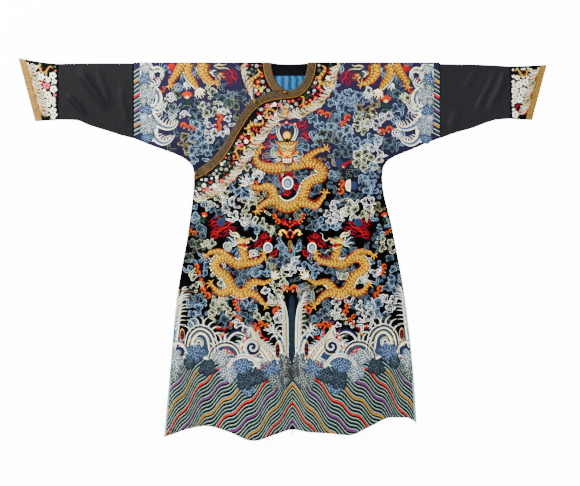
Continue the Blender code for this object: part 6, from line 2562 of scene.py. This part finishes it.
def band_work(near, far, dragons):
    """The embroidery of a collar band. dragons places each small dragon: share along, share across, turn,
    size and whether it is mirrored."""
    line_out, half_out = between(near, far, 0.70, 0.98)
    made = wave_edge(line_out[::6], float(half_out.mean()), -1)
    middle, half = between(near, far, 0.06, 0.72)
    kept = []
    for along, across, turn, size, flip in dragons:
        i = int(along * (len(near) - 1))
        at = (near[i] + (far[i] - near[i]) * across) / STEP
        made.append(small_dragon(at, turn, size, flip))
        c, s = math.cos(math.radians(turn)), math.sin(math.radians(turn))
        way = -1 if flip else 1
        kept += [
            (at[0] + (u * way * c - v * s) * size, at[1] + (u * way * s + v * c) * size, 2.7 * size)
            for u, v in ((-9, -4), (-3, -2), (0, 4), (6, 4), (9, -3), (14, -5))
        ]

    def inside(x, y, r):
        away = np.hypot(x[:, None] - middle[:, 0], y[:, None] - middle[:, 1]) + r[:, None]
        edge = np.hypot(x[:, None] - near[:, 0] / STEP, y[:, None] - near[:, 1] / STEP).min(axis=1)
        beyond = np.hypot(x[:, None] - far[:, 0] / STEP, y[:, None] - far[:, 1] / STEP).min(axis=1)
        return (
            (away < half).any(axis=1) & (edge > r + 1.0) & (beyond + r < 22.4) & (y > r + 1.2)
            & (np.abs(x) + r + 1 < seam_reach(x, y))
        )

    box = (middle.min(axis=0) - 12, middle.max(axis=0) + 12)
    circles = packed_circles(inside, kept, BAND_SIZES, box)
    return inside_seams(made + blossom_field(circles, BAND_KINDS), 1.0)


COLLAR_HEAD = (-4.5, 50.2)
front_dragons = (
    (0.06, 0.40, 70, 0.95, False), (0.20, 0.40, 40, 0.6, False), (0.42, 0.40, 150, 0.6, False),
    (0.60, 0.42, 124, 0.95, False), (0.78, 0.45, 120, 0.6, True),
)
right_dragons = ((0.55, 0.42, 86, 0.9, False),)
front_band = band_work(trim_edge, band_edge, front_dragons)
front_band.append(placed(FRONT_HEAD, COLLAR_HEAD, 0, 0.37, level=0.8))
right_band = band_work(right_trim_edge, right_band_edge, right_dragons)
on_front = lambda x, below: front_top(x, below) + REST + BAND_CLOTH
on_right = lambda x, below: right_top(x, below) + REST + BAND_CLOTH
stitched("embroidery_collar", front_band, on_front, silk, 0.0002)
stitched("embroidery_collar_right", right_band, on_right, silk, 0.0002)


# %% The work on a cuff
def cuff_work(side):
    """The embroidery of a cuff: a wave along the trim, a small dragon at the fold, and blossoms."""
    sign = SIGN[side]
    shares = (np.array([0.04, 0.04]), trim_start(side, 0.027), trim_start(side, 0.002))
    near, edge, far = [cuff_line(side, along, np.linspace(0.03, 0.97, 30)) for along in shares]
    made = wave_edge((edge + far)[::3] / 2 / STEP, 3.6, -sign, 3.6)
    at = (near[3] + (edge[3] - near[3]) * 0.5) / STEP
    made.append(small_dragon(at, 0, 0.62, side == "right"))
    kept = [(at[0] + u, at[1], 2.4) for u in (-6, -2, 2, 6)]

    def inside(x, y, r):
        a, b = near / STEP, edge / STEP
        left = np.interp(y, a[:, 1], a[:, 0]) * sign
        right = np.interp(y, b[:, 1], b[:, 0]) * sign
        return (
            (x * sign > left + r) & (x * sign < right - r * 0.6) & (y > a[0, 1] + r)
            & (y < a[-1, 1] - r * 0.4)
        )

    box = (
        np.minimum(near.min(axis=0), edge.min(axis=0)) / STEP - 2,
        np.maximum(near.max(axis=0), edge.max(axis=0)) / STEP + 2,
    )
    circles = packed_circles(inside, kept, CUFF_SIZES, box)
    return made + blossom_field(circles, CUFF_KINDS[side])


level = lambda x, below: 0 * x + SLEEVE_HEIGHT
stitched("embroidery_cuffs", cuff_work("right") + cuff_work("left"), level, silk, 0.0002)

# %% Finish
size = [[list(v) for v in (LOW, HIGH)], [list(v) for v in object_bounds()]]
